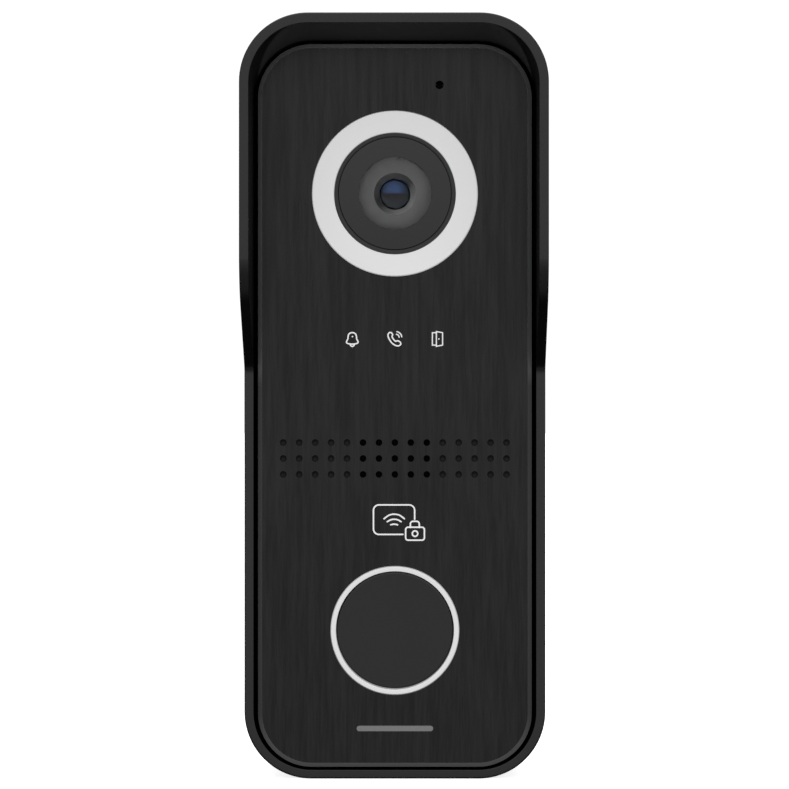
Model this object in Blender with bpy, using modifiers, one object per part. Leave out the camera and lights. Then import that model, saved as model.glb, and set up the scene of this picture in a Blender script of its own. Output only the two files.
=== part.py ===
"""Video doorbell in a wall frame with a rain hood, as an assembly of separate pieces.

Every length below is in millimetres, and the helpers turn it into Blender's metres. X points right as seen
from the front, Y points into the wall and Z points up. The wall plane is Y = 0, the origin lies on it behind
the middle of the frame, and the face that a visitor sees looks along -Y.
"""

import math

import bmesh
import bpy
from mathutils import Vector

MM = 0.001

# Driving sizes of the outside.
BODY_WIDTH = 66.1
BODY_HEIGHT = 165.8
BODY_RADIUS = 14.7
BODY_DEPTH = 26.0
HOOD_REACH = 20.0
SIDE_WALL = 2.05
BOTTOM_WALL = 1.95
TOP_WALL_AT_RIM = 3.55
TOP_WALL_AT_HOOD = 2.25
BACK_WALL = 2.0

# The side cheeks of the hood slope back to the rim between these heights.
HOOD_SLOPE_TOP = 25.0
HOOD_SLOPE_FOOT = 7.2
HOOD_TOP_FILLET = 15.0
HOOD_FOOT_FILLET = 2.4

# The front plate and the parts of its face.
PLATE_WIDTH = 60.2
PLATE_HEIGHT = 158.8
PLATE_CENTRE_Z = -0.95
PLATE_RADIUS = 11.9
PLATE_THICKNESS = 2.0
PLATE_CHAMFER = 0.85
PLATE_CHAMFER_DEPTH = 0.5
CAMERA_Z = 45.6
STATUS_Z = 13.55
STATUS_PITCH = 9.35
GRILLE_Z = -12.6
GRILLE_PITCH = 3.5
GRILLE_HOLE_RADIUS = 0.75
GRILLE_COLUMNS = 15
GRILLE_OPEN_COLUMNS = 5
GRILLE_ROWS = 3
GRILLE_DIMPLE_DEPTH = 0.7
BUTTON_Z = -50.3
MICROPHONE_X = 9.8
MICROPHONE_Z = 69.4
MICROPHONE_HOLE_RADIUS = 0.85

# Levels along Y, from the wall to the visitor.
FRAME_FLOOR = -BACK_WALL
HOUSING_BACK = -2.6
HOUSING_FLOOR = -4.6
BAY_FLOOR_BACK = -13.8
BAY_FLOOR_FRONT = -15.6
BOARD_BACK = -16.4
BOARD_FRONT = -18.0
HOUSING_FRONT = -23.2
PLATE_BACK = -24.0
PLATE_FRONT = PLATE_BACK - PLATE_THICKNESS
RIM = -BODY_DEPTH
HOOD_FRONT = RIM - HOOD_REACH

# The rear housing of the panel, and the bay in its back that takes the cables.
HOUSING_INSET = 0.8
HOUSING_WALL = 1.8
BAY_WIDTH = 52.0
BAY_TOP = 20.2
BAY_BOTTOM = -42.2
BAY_WALL = 1.8
CABLE_OPENING = (36.0, 34.0)
CABLE_OPENING_Z = -23.0

CORNER_STEPS = 6
OVERRUN = 1.0

PLATE_SCREWS = [(x, z) for z in (62.0, -62.0) for x in (-24.8, 24.8)]
BOARD_SCREWS = [(x, z) for z in (25.0, -71.0) for x in (-21.5, 21.5)]
CAMERA_SCREWS = [(-12.0, CAMERA_Z + 12.0), (12.0, CAMERA_Z - 12.0)]
WALL_SCREWS = [(x, z) for z in (52.0, -58.0) for x in (-19.0, 19.0)]
LOCK_SCREW_Y = -10.0
TAMPER_PLACE = (9.0, -68.0)

# Holes, hooks and posts that fasten one piece to another.
WALL_HOLE_RADIUS = 2.2
WALL_SINK_RADIUS = 4.2
LOCK_HOLE_RADIUS = 1.8
LOCK_SINK_RADIUS = 3.6
COUNTERSINK_DEPTH = 1.6
HOOKS = {"left": -15.0, "right": 15.0}
HOOK_HALF_WIDTH = 3.5
HOOK_FRONT = -7.4
HOOK_THICKNESS = 2.0
HOOK_FOOT_Z = 64.0
HOOK_STEM_TOP_Z = 66.5
HOOK_TIP_Z = 70.0
BOARD_POST_RADIUS = 2.6
BOARD_PILOT_RADIUS = 1.35
CAMERA_POST_RADIUS = 2.4
CAMERA_PILOT_RADIUS = 1.2
CAMERA_POST_FRONT = -6.8
COLUMN_RADIUS = 3.8
COLUMN_BORE_RADIUS = 1.6
COLUMN_SINK_RADIUS = 2.8
COLUMN_FRONT = -17.4
COLUMN_SEAT = -13.9
STUD_RADIUS = 2.3
STUD_LENGTH = 6.2
STUD_HOLE_RADIUS = 1.5

# Parts of the face: their openings in the plate and the boards behind them.
CAMERA_OPENING_RADIUS = 18.35
BUTTON_OPENING_RADIUS = 14.3
STATUS_POCKET_HALF = 2.4
GUIDE_POST_HALF = 2.1
GUIDE_LEG_HALF = 1.2
LAMP_COUNT = 8
LAMP_CIRCLE_RADIUS = 16.2
LAMP_HALF = 1.2
CAMERA_BOARD_SIZE = 30.0
LENS_HOLDER_SIZE = 18.0
ANTENNA_SIZE = (43.0, 38.0)
ANTENNA_HOLE_RADIUS = 16.8
TERMINAL_WAYS = 5
TERMINAL_PITCH = 3.5

FACING = {
    "front": Vector((0, -1, 0)),
    "back": Vector((0, 1, 0)),
    "down": Vector((0, 0, -1)),
    "up": Vector((0, 0, 1)),
}

# Colour, roughness and metallic value of each material.
FINISHES = {
    "frame_paint": ((0.030, 0.030, 0.031), 0.55, 0.0),
    "brushed_black": ((0.024, 0.024, 0.025), 0.42, 0.6),
    "black_plastic": ((0.012, 0.012, 0.013), 0.5, 0.0),
    "button_plastic": ((0.029, 0.029, 0.030), 0.5, 0.0),
    "white_diffuser": ((0.66, 0.66, 0.66), 0.5, 0.0),
    "window_glass": ((0.35, 0.36, 0.38), 0.05, 0.0),
    "lens_glass": ((0.03, 0.05, 0.12), 0.03, 0.0),
    "lens_metal": ((0.075, 0.075, 0.076), 0.45, 0.5),
    "seal_rubber": ((0.015, 0.015, 0.015), 0.85, 0.0),
    "silicone": ((0.35, 0.36, 0.37), 0.6, 0.0),
    "clear_plastic": ((0.75, 0.77, 0.78), 0.2, 0.0),
    "board_green": ((0.012, 0.09, 0.035), 0.45, 0.0),
    "chip_black": ((0.016, 0.016, 0.017), 0.6, 0.0),
    "plated_steel": ((0.55, 0.55, 0.54), 0.3, 1.0),
    "stainless": ((0.60, 0.59, 0.57), 0.28, 1.0),
    "brass": ((0.70, 0.50, 0.20), 0.3, 1.0),
    "copper": ((0.65, 0.30, 0.14), 0.35, 1.0),
    "terminal_green": ((0.03, 0.25, 0.08), 0.5, 0.0),
    "relay_blue": ((0.03, 0.10, 0.35), 0.4, 0.0),
    "ribbon_white": ((0.65, 0.66, 0.68), 0.5, 0.0),
    "acoustic_mesh": ((0.010, 0.010, 0.010), 0.9, 0.0),
    "paper_cone": ((0.03, 0.03, 0.03), 0.8, 0.0),
}


# ---------------------------------------------------------------- scene and materials


def clear_scene():
    for obj in list(bpy.data.objects):
        bpy.data.objects.remove(obj, do_unlink=True)


def new_collection(name):
    collection = bpy.data.collections.new(name)
    bpy.context.scene.collection.children.link(collection)
    return collection


def material(name):
    """The named finish as a Principled material, made once."""
    found = bpy.data.materials.get(name)
    if found:
        return found
    colour, roughness, metallic = FINISHES[name]
    made = bpy.data.materials.new(name)
    made.use_nodes = True
    made.diffuse_color = (*colour, 1.0)
    shader = made.node_tree.nodes["Principled BSDF"]
    shader.inputs["Base Color"].default_value = (*colour, 1.0)
    shader.inputs["Roughness"].default_value = roughness
    shader.inputs["Metallic"].default_value = metallic
    return made


def add_object(name, data, finish):
    """Links data to the doorbell, or to the cutters when it has no finish of its own."""
    obj = bpy.data.objects.new(name, data)
    if finish:
        data.materials.append(material(finish))
        PARTS.objects.link(obj)
    else:
        CUTTERS.objects.link(obj)
        obj.hide_render = True
        obj.display_type = "WIRE"
    return obj


# ---------------------------------------------------------------- outlines


def arc(centre, radius, start, end, steps):
    """Points of an arc, between two angles in degrees."""
    angles = [math.radians(start + (end - start) * i / steps) for i in range(steps + 1)]
    return [(centre[0] + radius * math.cos(a), centre[1] + radius * math.sin(a)) for a in angles]


def circle(radius, centre=(0.0, 0.0), steps=32):
    return arc(centre, radius, 0, 360 * (steps - 1) / steps, steps - 1)


def rounded_box(low, high, radius, steps=CORNER_STEPS):
    """Outline of a rectangle between two corners, with round corners."""
    corners = (
        (high[0] - radius, high[1] - radius, 0),
        (low[0] + radius, high[1] - radius, 90),
        (low[0] + radius, low[1] + radius, 180),
        (high[0] - radius, low[1] + radius, 270),
    )
    points = []
    for x, z, start in corners:
        points += arc((x, z), radius, start, start + 90, steps)
    return points


def centred_box(width, height, radius, centre=(0.0, 0.0), steps=CORNER_STEPS):
    low = (centre[0] - width / 2, centre[1] - height / 2)
    high = (centre[0] + width / 2, centre[1] + height / 2)
    return rounded_box(low, high, radius, steps)


def body_outline(inset=0.0):
    return centred_box(BODY_WIDTH - 2 * inset, BODY_HEIGHT - 2 * inset, BODY_RADIUS - inset)


def pocket_outline(top_wall):
    """Inside of the frame's walls, under a top wall of the given thickness."""
    half = BODY_WIDTH / 2 - SIDE_WALL
    low = (-half, -BODY_HEIGHT / 2 + BOTTOM_WALL)
    high = (half, BODY_HEIGHT / 2 - top_wall)
    return rounded_box(low, high, BODY_RADIUS - SIDE_WALL)


def plate_outline(inset=0.0):
    size = (PLATE_WIDTH - 2 * inset, PLATE_HEIGHT - 2 * inset)
    return centred_box(*size, PLATE_RADIUS - inset, (0.0, PLATE_CENTRE_Z))


# ---------------------------------------------------------------- solids


def flat_piece(name, outlines, near, far, finish=None, plane="front"):
    """A flat solid between two levels. The first outline is its edge and the others are holes.

    In the front plane an outline is (x, z) and the levels are along Y. In the side plane it is (y, z) and
    the levels are along X. In the top plane it is (x, y) and the levels are along Z.
    """
    data = bpy.data.curves.new(name, "CURVE")
    data.dimensions = "2D"
    data.fill_mode = "BOTH"
    data.extrude = abs(far - near) / 2 * MM
    for outline in outlines:
        spline = data.splines.new("POLY")
        spline.points.add(len(outline) - 1)
        for point, (a, b) in zip(spline.points, outline):
            point.co = (a * MM, b * MM, 0.0, 1.0)
        spline.use_cyclic_u = True
    obj = add_object(name, data, finish)
    middle = (near + far) / 2 * MM
    if plane == "front":
        obj.rotation_euler = (math.pi / 2, 0, 0)
        obj.location = (0, middle, 0)
    elif plane == "side":
        obj.rotation_euler = (math.pi / 2, 0, math.pi / 2)
        obj.location = (middle, 0, 0)
    else:
        obj.location = (0, 0, middle)
    return as_mesh(obj)


def as_mesh(curve):
    """The curve as a welded mesh object of the same name and place, which a Boolean can take."""
    bpy.context.view_layer.update()
    graph = bpy.context.evaluated_depsgraph_get()
    mesh = bpy.data.meshes.new_from_object(curve.evaluated_get(graph))
    work = bmesh.new()
    work.from_mesh(mesh)
    bmesh.ops.remove_doubles(work, verts=work.verts, dist=0.001 * MM)
    bmesh.ops.recalc_face_normals(work, faces=work.faces)
    work.to_mesh(mesh)
    work.free()
    name, place, home = curve.name, curve.matrix_world.copy(), curve.users_collection[0]
    hidden, display = curve.hide_render, curve.display_type
    bpy.data.objects.remove(curve, do_unlink=True)
    obj = bpy.data.objects.new(name, mesh)
    home.objects.link(obj)
    obj.matrix_world = place
    obj.hide_render = hidden
    obj.display_type = display
    return obj


def turned(name, profile, centre, facing="front", finish=None, steps=32, ring=True):
    """A turned solid about an axis through centre that points the way the piece faces.

    The profile is (radius, height) pairs, with height along the axis from centre. It runs down the outer
    side. A ring's profile closes on itself, and any other starts and ends on the axis.
    """
    mesh = bpy.data.meshes.new(name)
    points = [(radius * MM, 0.0, height * MM) for radius, height in profile]
    edges = [(i, i + 1) for i in range(len(points) - 1)]
    if ring:
        edges.append((len(points) - 1, 0))
    mesh.from_pydata(points, edges, [])
    obj = add_object(name, mesh, finish)
    screw = obj.modifiers.new("Turn", "SCREW")
    screw.axis = "Z"
    screw.steps = steps
    screw.render_steps = steps
    screw.use_merge_vertices = True
    screw.merge_threshold = 0.00001
    screw.use_smooth_shade = True
    place(obj, centre, facing)
    return obj


def place(obj, centre, facing):
    """Puts the object at centre with its own Z axis along the way it faces."""
    obj.rotation_mode = "QUATERNION"
    obj.rotation_quaternion = Vector((0, 0, 1)).rotation_difference(FACING[facing])
    obj.location = Vector(centre) * MM


def cylinder(name, centre, facing, radius, low, high, finish=None, steps=16, top_radius=None):
    """A cylinder or cone along the facing axis, from low to high measured from centre."""
    mesh = bpy.data.meshes.new(name)
    work = bmesh.new()
    bmesh.ops.create_cone(
        work,
        cap_ends=True,
        segments=steps,
        radius1=radius * MM,
        radius2=(radius if top_radius is None else top_radius) * MM,
        depth=(high - low) * MM,
    )
    bmesh.ops.translate(work, verts=work.verts, vec=(0, 0, (high + low) / 2 * MM))
    work.to_mesh(mesh)
    work.free()
    obj = add_object(name, mesh, finish)
    place(obj, centre, facing)
    return obj


def box(name, low, high, finish=None):
    """A block between two corners."""
    mesh = bpy.data.meshes.new(name)
    work = bmesh.new()
    bmesh.ops.create_cube(work, size=1.0)
    size = [(b - a) * MM for a, b in zip(low, high)]
    middle = [(a + b) / 2 * MM for a, b in zip(low, high)]
    bmesh.ops.scale(work, verts=work.verts, vec=size)
    work.to_mesh(mesh)
    work.free()
    obj = add_object(name, mesh, finish)
    obj.location = middle
    return obj


def loft(name, sections, finish=None):
    """A solid through sections of equally many points, each a list of (x, y, z)."""
    mesh = bpy.data.meshes.new(name)
    work = bmesh.new()
    rings = [[work.verts.new(Vector(p) * MM) for p in section] for section in sections]
    count = len(rings[0])
    for near, far in zip(rings, rings[1:]):
        for i in range(count):
            j = (i + 1) % count
            work.faces.new((near[i], near[j], far[j], far[i]))
    work.faces.new(rings[0])
    work.faces.new(rings[-1])
    bmesh.ops.recalc_face_normals(work, faces=work.faces)
    work.to_mesh(mesh)
    work.free()
    return add_object(name, mesh, finish)


def at_level(outline, y):
    return [(x, y, z) for x, z in outline]


def chamfered(obj, width):
    """Small flat chamfers on the sharp edges."""
    bevel = obj.modifiers.new("Chamfer", "BEVEL")
    bevel.width = width * MM
    bevel.segments = 1
    bevel.limit_method = "ANGLE"
    bevel.angle_limit = math.radians(50)
    return obj


def combine(target, operation, pieces):
    """Joins pieces to the target or cuts them from it, one Boolean for each."""
    for piece in pieces:
        boolean = target.modifiers.new(piece.name, "BOOLEAN")
        boolean.operation = operation
        boolean.solver = "EXACT"
        boolean.object = piece
    return target


def cut(target, *pieces):
    return combine(target, "DIFFERENCE", pieces)


def join(target, *pieces):
    return combine(target, "UNION", pieces)


def countersink(name, spot, facing, radii, overrun):
    """The cone of a countersunk screw head, from the hole's radius to the head's at the surface."""
    return cylinder(name, spot, facing, radii[0], -COUNTERSINK_DEPTH, overrun, top_radius=radii[1])


def joined_cutter(name, pieces):
    """Several cutters that don't touch, as one mesh."""
    work = bmesh.new()
    bpy.context.view_layer.update()
    for piece in pieces:
        mesh = piece.data.copy()
        mesh.transform(piece.matrix_world)
        work.from_mesh(mesh)
        bpy.data.meshes.remove(mesh)
        bpy.data.objects.remove(piece, do_unlink=True)
    mesh = bpy.data.meshes.new(name)
    work.to_mesh(mesh)
    work.free()
    return add_object(name, mesh, None)


def screw(name, seat, facing, head, shank, finish="stainless"):
    """A cap screw with a hexagon socket. Its head starts at the seat and stands up the way it faces."""
    head_radius, head_height = head
    shank_radius, shank_length = shank
    profile = [
        (0, head_height),
        (head_radius, head_height),
        (head_radius, 0),
        (shank_radius, 0),
        (shank_radius, -shank_length),
        (0, -shank_length),
    ]
    obj = turned(name, profile, seat, facing, finish, steps=10, ring=False)
    socket = (0.5 * head_radius, 0.4 * head_height)
    cutter = cylinder(f"{name}_socket", seat, facing, socket[0], socket[1], head_height + OVERRUN, steps=6)
    return cut(obj, cutter)


# ---------------------------------------------------------------- wall frame with its rain hood


def hood_side_outline():
    """What the side view cuts away in front of the rim and under the hood, as (y, z)."""
    rise = HOOD_SLOPE_TOP - HOOD_SLOPE_FOOT
    turn = math.degrees(math.atan2(HOOD_REACH, rise))
    tangent = math.tan(math.radians(turn) / 2)
    top_tangent = HOOD_TOP_FILLET * tangent
    foot_tangent = HOOD_FOOT_FILLET * tangent
    top_centre = (HOOD_FRONT + HOOD_TOP_FILLET, HOOD_SLOPE_TOP + top_tangent)
    foot_centre = (RIM - HOOD_FOOT_FILLET, HOOD_SLOPE_FOOT - foot_tangent)
    front = HOOD_FRONT - OVERRUN
    bottom = -BODY_HEIGHT / 2 - OVERRUN
    return [
        (front, bottom),
        (RIM, bottom),
        *arc(foot_centre, HOOD_FOOT_FILLET, 0, turn, 5),
        *arc(top_centre, HOOD_TOP_FILLET, 180 + turn, 180, 8),
        (front, HOOD_SLOPE_TOP + top_tangent),
    ]


def frame_hook(name, x):
    """A hook that stands off the frame's floor and reaches up behind the panel's back."""
    foot = (x - HOOK_HALF_WIDTH, HOOK_FRONT, HOOK_FOOT_Z)
    stem = box(name, foot, (x + HOOK_HALF_WIDTH, FRAME_FLOOR + OVERRUN, HOOK_STEM_TOP_Z))
    lip = box(f"{name}_lip", foot, (x + HOOK_HALF_WIDTH, HOOK_FRONT + HOOK_THICKNESS, HOOK_TIP_Z))
    return stem, lip


def make_frame():
    half_width = BODY_WIDTH / 2 + OVERRUN
    frame = flat_piece("hood_frame", [body_outline()], HOOD_FRONT, 0.0, "frame_paint")
    slope = (TOP_WALL_AT_RIM - TOP_WALL_AT_HOOD) / HOOD_REACH
    past_front = TOP_WALL_AT_HOOD - slope * OVERRUN
    pocket = loft(
        "frame_pocket",
        [
            at_level(pocket_outline(past_front), HOOD_FRONT - OVERRUN),
            at_level(pocket_outline(TOP_WALL_AT_RIM), RIM),
            at_level(pocket_outline(TOP_WALL_AT_RIM), FRAME_FLOOR),
        ],
    )
    under_hood = flat_piece("under_hood", [hood_side_outline()], -half_width, half_width, plane="side")
    opening = centred_box(*CABLE_OPENING, 4.0, (0.0, CABLE_OPENING_Z), 4)
    cable_way = flat_piece("cable_way", [opening], FRAME_FLOOR - OVERRUN, OVERRUN)
    cut(frame, pocket, under_hood, cable_way)
    for side, x in HOOKS.items():
        join(frame, *frame_hook(f"frame_hook_{side}", x))

    holes = []
    for i, (x, z) in enumerate(WALL_SCREWS):
        spot = (x, FRAME_FLOOR, z)
        end = BACK_WALL + OVERRUN
        holes.append(cylinder(f"wall_hole_{i}", spot, "back", WALL_HOLE_RADIUS, -OVERRUN, end))
    cut(frame, joined_cutter("wall_holes", holes))
    sinks = []
    for i, (x, z) in enumerate(WALL_SCREWS):
        spot = (x, FRAME_FLOOR, z)
        name = f"wall_sink_{i}"
        radii = (WALL_HOLE_RADIUS, WALL_SINK_RADIUS)
        sinks.append(countersink(name, spot, "front", radii, 0.4))
    cut(frame, joined_cutter("wall_sinks", sinks))

    groove = flat_piece("gasket_groove", [body_outline(2.8), body_outline(6.2)], -0.9, OVERRUN)
    x, z = TAMPER_PLACE
    tamper_hole = cylinder("frame_tamper_hole", (x, 0, z), "back", 3.0, -BACK_WALL - OVERRUN, OVERRUN)
    cut(frame, groove, tamper_hole)

    bottom = -BODY_HEIGHT / 2
    spot = (0, LOCK_SCREW_Y, bottom)
    lock_hole = cylinder("lock_hole", spot, "down", LOCK_HOLE_RADIUS, -BOTTOM_WALL - OVERRUN, OVERRUN)
    lock_sink = countersink("lock_sink", spot, "down", (LOCK_HOLE_RADIUS, LOCK_SINK_RADIUS), 0.2)
    drains = []
    for i, x in enumerate((-17.0, 17.0)):
        slot = centred_box(8.0, 1.6, 0.79, (x, -21.0), 3)
        drains.append(flat_piece(f"drain_{i}", [slot], bottom - OVERRUN, bottom + 3.0, plane="top"))
    cut(frame, lock_hole, lock_sink, joined_cutter("drain_slots", drains))


def make_frame_fittings():
    flat_piece("wall_gasket", [body_outline(3.0), body_outline(6.0)], -0.8, 0.0, "seal_rubber")

    width, height = CABLE_OPENING
    centre = (0.0, CABLE_OPENING_Z)
    sleeve = centred_box(width - 0.6, height - 0.6, 3.7, centre, 4)
    flange = centred_box(width + 3.4, height + 3.4, 5.5, centre, 4)
    mouth = centred_box(width - 4.0, height - 4.0, 2.2, centre, 4)
    grommet = flat_piece("cable_grommet", [flange, mouth], -3.5, FRAME_FLOOR - 0.2, "seal_rubber")
    join(grommet, flat_piece("grommet_sleeve", [sleeve, mouth], -2.5, -0.2))

    bottom = -BODY_HEIGHT / 2
    profile = [(0, 0.0), (3.1, 0.0), (1.35, -1.5), (1.35, -8.4), (0.9, -8.9), (0, -8.9)]
    lock = turned("lock_screw", profile, (0, LOCK_SCREW_Y, bottom + 0.1), "down", "stainless", 16, ring=False)
    socket = cylinder("lock_socket", (0, LOCK_SCREW_Y, bottom), "down", 1.2, -1.3, OVERRUN, steps=6)
    cut(lock, socket)
    ring = [(2.2, 0.0), (2.2, -4.6), (1.6, -4.6), (1.6, 0.0)]
    turned("lock_insert", ring, (0, LOCK_SCREW_Y, -79.2), "down", "brass", 12)


# ---------------------------------------------------------------- front plate


def grille_places(open_holes):
    """Places of the through holes in the middle columns, or of the blind dimples beside them."""
    middle = (GRILLE_COLUMNS - 1) / 2
    places = []
    for column in range(GRILLE_COLUMNS):
        is_open = abs(column - middle) <= (GRILLE_OPEN_COLUMNS - 1) / 2
        if is_open != open_holes:
            continue
        for row in range(GRILLE_ROWS):
            z = GRILLE_Z + (row - (GRILLE_ROWS - 1) / 2) * GRILLE_PITCH
            places.append(((column - middle) * GRILLE_PITCH, z))
    return places


def hole_set(name, places, radius, near, far, steps):
    """Round cutters along Y at the given (x, z) places, as one mesh."""
    middle = (near + far) / 2
    half = abs(far - near) / 2
    pieces = []
    for i, (x, z) in enumerate(places):
        pieces.append(cylinder(f"{name}_{i}", (x, middle, z), "front", radius, -half, half, steps=steps))
    return joined_cutter(name, pieces)


def status_block(name, place, half, near, far):
    """A square block along Y behind one of the three status symbols, counted -1, 0 and 1 from the left."""
    x = place * STATUS_PITCH
    return box(name, (x - half, near, STATUS_Z - half), (x + half, far, STATUS_Z + half))


def make_plate():
    shoulder = PLATE_FRONT + PLATE_CHAMFER_DEPTH
    plate = loft(
        "front_plate",
        [
            at_level(plate_outline(PLATE_CHAMFER), PLATE_FRONT),
            at_level(plate_outline(), shoulder),
            at_level(plate_outline(), PLATE_BACK),
        ],
        "brushed_black",
    )
    studs = []
    for i, (x, z) in enumerate(PLATE_SCREWS):
        spot = (x, PLATE_BACK, z)
        studs.append(cylinder(f"plate_stud_{i}", spot, "back", STUD_RADIUS, -0.5, STUD_LENGTH, steps=10))
    join(plate, joined_cutter("plate_studs", studs))
    cut(plate, hole_set("stud_holes", PLATE_SCREWS, STUD_HOLE_RADIUS, -21.3, -17.0, 10))

    near, far = PLATE_FRONT - OVERRUN, PLATE_BACK + OVERRUN
    camera_hole = hole_set("camera_hole", [(0.0, CAMERA_Z)], CAMERA_OPENING_RADIUS, near, far, 32)
    button_hole = hole_set("button_hole", [(0.0, BUTTON_Z)], BUTTON_OPENING_RADIUS, near, far, 32)
    sound_holes = hole_set("sound_holes", grille_places(True), GRILLE_HOLE_RADIUS, near, far, 8)
    dimple_floor = PLATE_FRONT + GRILLE_DIMPLE_DEPTH
    dimples = hole_set("dimples", grille_places(False), GRILLE_HOLE_RADIUS, near, dimple_floor, 6)
    voice_hole = hole_set("voice_hole", [(MICROPHONE_X, MICROPHONE_Z)], MICROPHONE_HOLE_RADIUS, near, far, 12)
    cut(plate, camera_hole, button_hole, sound_holes, dimples, voice_hole)

    pockets = []
    for i in (-1, 0, 1):
        pockets.append(status_block(f"status_pocket_{i}", i, STATUS_POCKET_HALF, PLATE_FRONT + 0.5, far))
    cut(plate, joined_cutter("status_pockets", pockets))


def make_plate_fittings():
    outer = plate_outline(HOUSING_INSET + 0.1)
    inner = plate_outline(HOUSING_INSET + HOUSING_WALL - 0.1)
    flat_piece("housing_gasket", [outer, inner], PLATE_BACK + 0.1, HOUSING_FRONT - 0.1, "silicone")
    for i, (x, z) in enumerate(PLATE_SCREWS, 1):
        screw(f"plate_screw_{i}", (x, -13.8, z), "back", (2.4, 1.8), (1.25, 7.0))


# ---------------------------------------------------------------- rear housing


def make_housing():
    wall = HOUSING_INSET + HOUSING_WALL
    edge = plate_outline(HOUSING_INSET)
    shell = flat_piece("rear_housing", [edge], HOUSING_FRONT, HOUSING_BACK, "black_plastic")
    inner_half = PLATE_WIDTH / 2 - wall
    inner_top = PLATE_CENTRE_Z + PLATE_HEIGHT / 2 - wall
    inner_bottom = PLATE_CENTRE_Z - PLATE_HEIGHT / 2 + wall
    radius = PLATE_RADIUS - wall
    front = flat_piece("housing_front_room", [plate_outline(wall)], HOUSING_FRONT - OVERRUN, BAY_FLOOR_FRONT)
    upper_outline = rounded_box((-inner_half, BAY_TOP + BAY_WALL), (inner_half, inner_top), radius)
    lower_outline = rounded_box((-inner_half, inner_bottom), (inner_half, BAY_BOTTOM - BAY_WALL), radius)
    upper = flat_piece("housing_upper_room", [upper_outline], BAY_FLOOR_FRONT - OVERRUN, HOUSING_FLOOR)
    lower = flat_piece("housing_lower_room", [lower_outline], BAY_FLOOR_FRONT - OVERRUN, HOUSING_FLOOR)
    bay_outline = rounded_box((-BAY_WIDTH / 2, BAY_BOTTOM), (BAY_WIDTH / 2, BAY_TOP), 3.0, 3)
    bay = flat_piece("cable_bay", [bay_outline], BAY_FLOOR_BACK, HOUSING_BACK + OVERRUN)
    cut(shell, front, upper, lower, bay)

    root = HOUSING_FLOOR + 0.5
    posts = []
    for i, (x, z) in enumerate(BOARD_SCREWS):
        front = BOARD_BACK + 0.2
        posts.append(cylinder(f"board_post_{i}", (x, 0, z), "back", BOARD_POST_RADIUS, front, root, steps=12))
    for i, (x, z) in enumerate(CAMERA_SCREWS):
        name, front = f"camera_post_{i}", CAMERA_POST_FRONT
        posts.append(cylinder(name, (x, 0, z), "back", CAMERA_POST_RADIUS, front, root, steps=12))
    for i, (x, z) in enumerate(PLATE_SCREWS):
        posts.append(cylinder(f"screw_column_{i}", (x, 0, z), "back", COLUMN_RADIUS, COLUMN_FRONT, root))
    lock_block = box("lock_block", (-4.0, -14.0, inner_bottom - 0.5), (4.0, -6.0, inner_bottom + 6.0))
    join(shell, joined_cutter("housing_posts", posts), lock_block)

    pilots = hole_set("board_pilots", BOARD_SCREWS, BOARD_PILOT_RADIUS, BOARD_BACK, -9.0, 10)
    camera_pilots = hole_set("camera_pilots", CAMERA_SCREWS, CAMERA_PILOT_RADIUS, -7.5, -4.0, 10)
    column_bores = hole_set("column_bores", PLATE_SCREWS, COLUMN_BORE_RADIUS, -18.0, -13.0, 10)
    column_sinks = hole_set("column_sinks", PLATE_SCREWS, COLUMN_SINK_RADIUS, COLUMN_SEAT, -2.0, 14)
    x, z = TAMPER_PLACE
    tamper_hole = hole_set("housing_tamper_hole", [(x, z)], 2.6, HOUSING_FLOOR - OVERRUN, -2.0, 14)
    lock_low = PLATE_CENTRE_Z - PLATE_HEIGHT / 2
    lock_bore = cylinder("lock_bore", (0, LOCK_SCREW_Y, lock_low), "up", 2.45, -OVERRUN, 7.0)
    slots = []
    for side, x in HOOKS.items():
        slot = box(f"hook_slot_{side}", (x - 4.2, HOUSING_FLOOR - OVERRUN, 62.5), (x + 4.2, -2.0, 70.8))
        slots.append(slot)
    near, far = BAY_FLOOR_FRONT - OVERRUN, BAY_FLOOR_BACK + OVERRUN
    jack_window = box("jack_window", (-16.8, near, -2.4), (0.8, far, 19.4))
    terminal_window = box("terminal_window", (4.0, near, 5.0), (24.6, far, 17.6))
    cut(shell, pilots, camera_pilots, column_bores, column_sinks, tamper_hole, lock_bore)
    cut(shell, joined_cutter("housing_windows", [*slots, jack_window, terminal_window]))


# ---------------------------------------------------------------- camera


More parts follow.
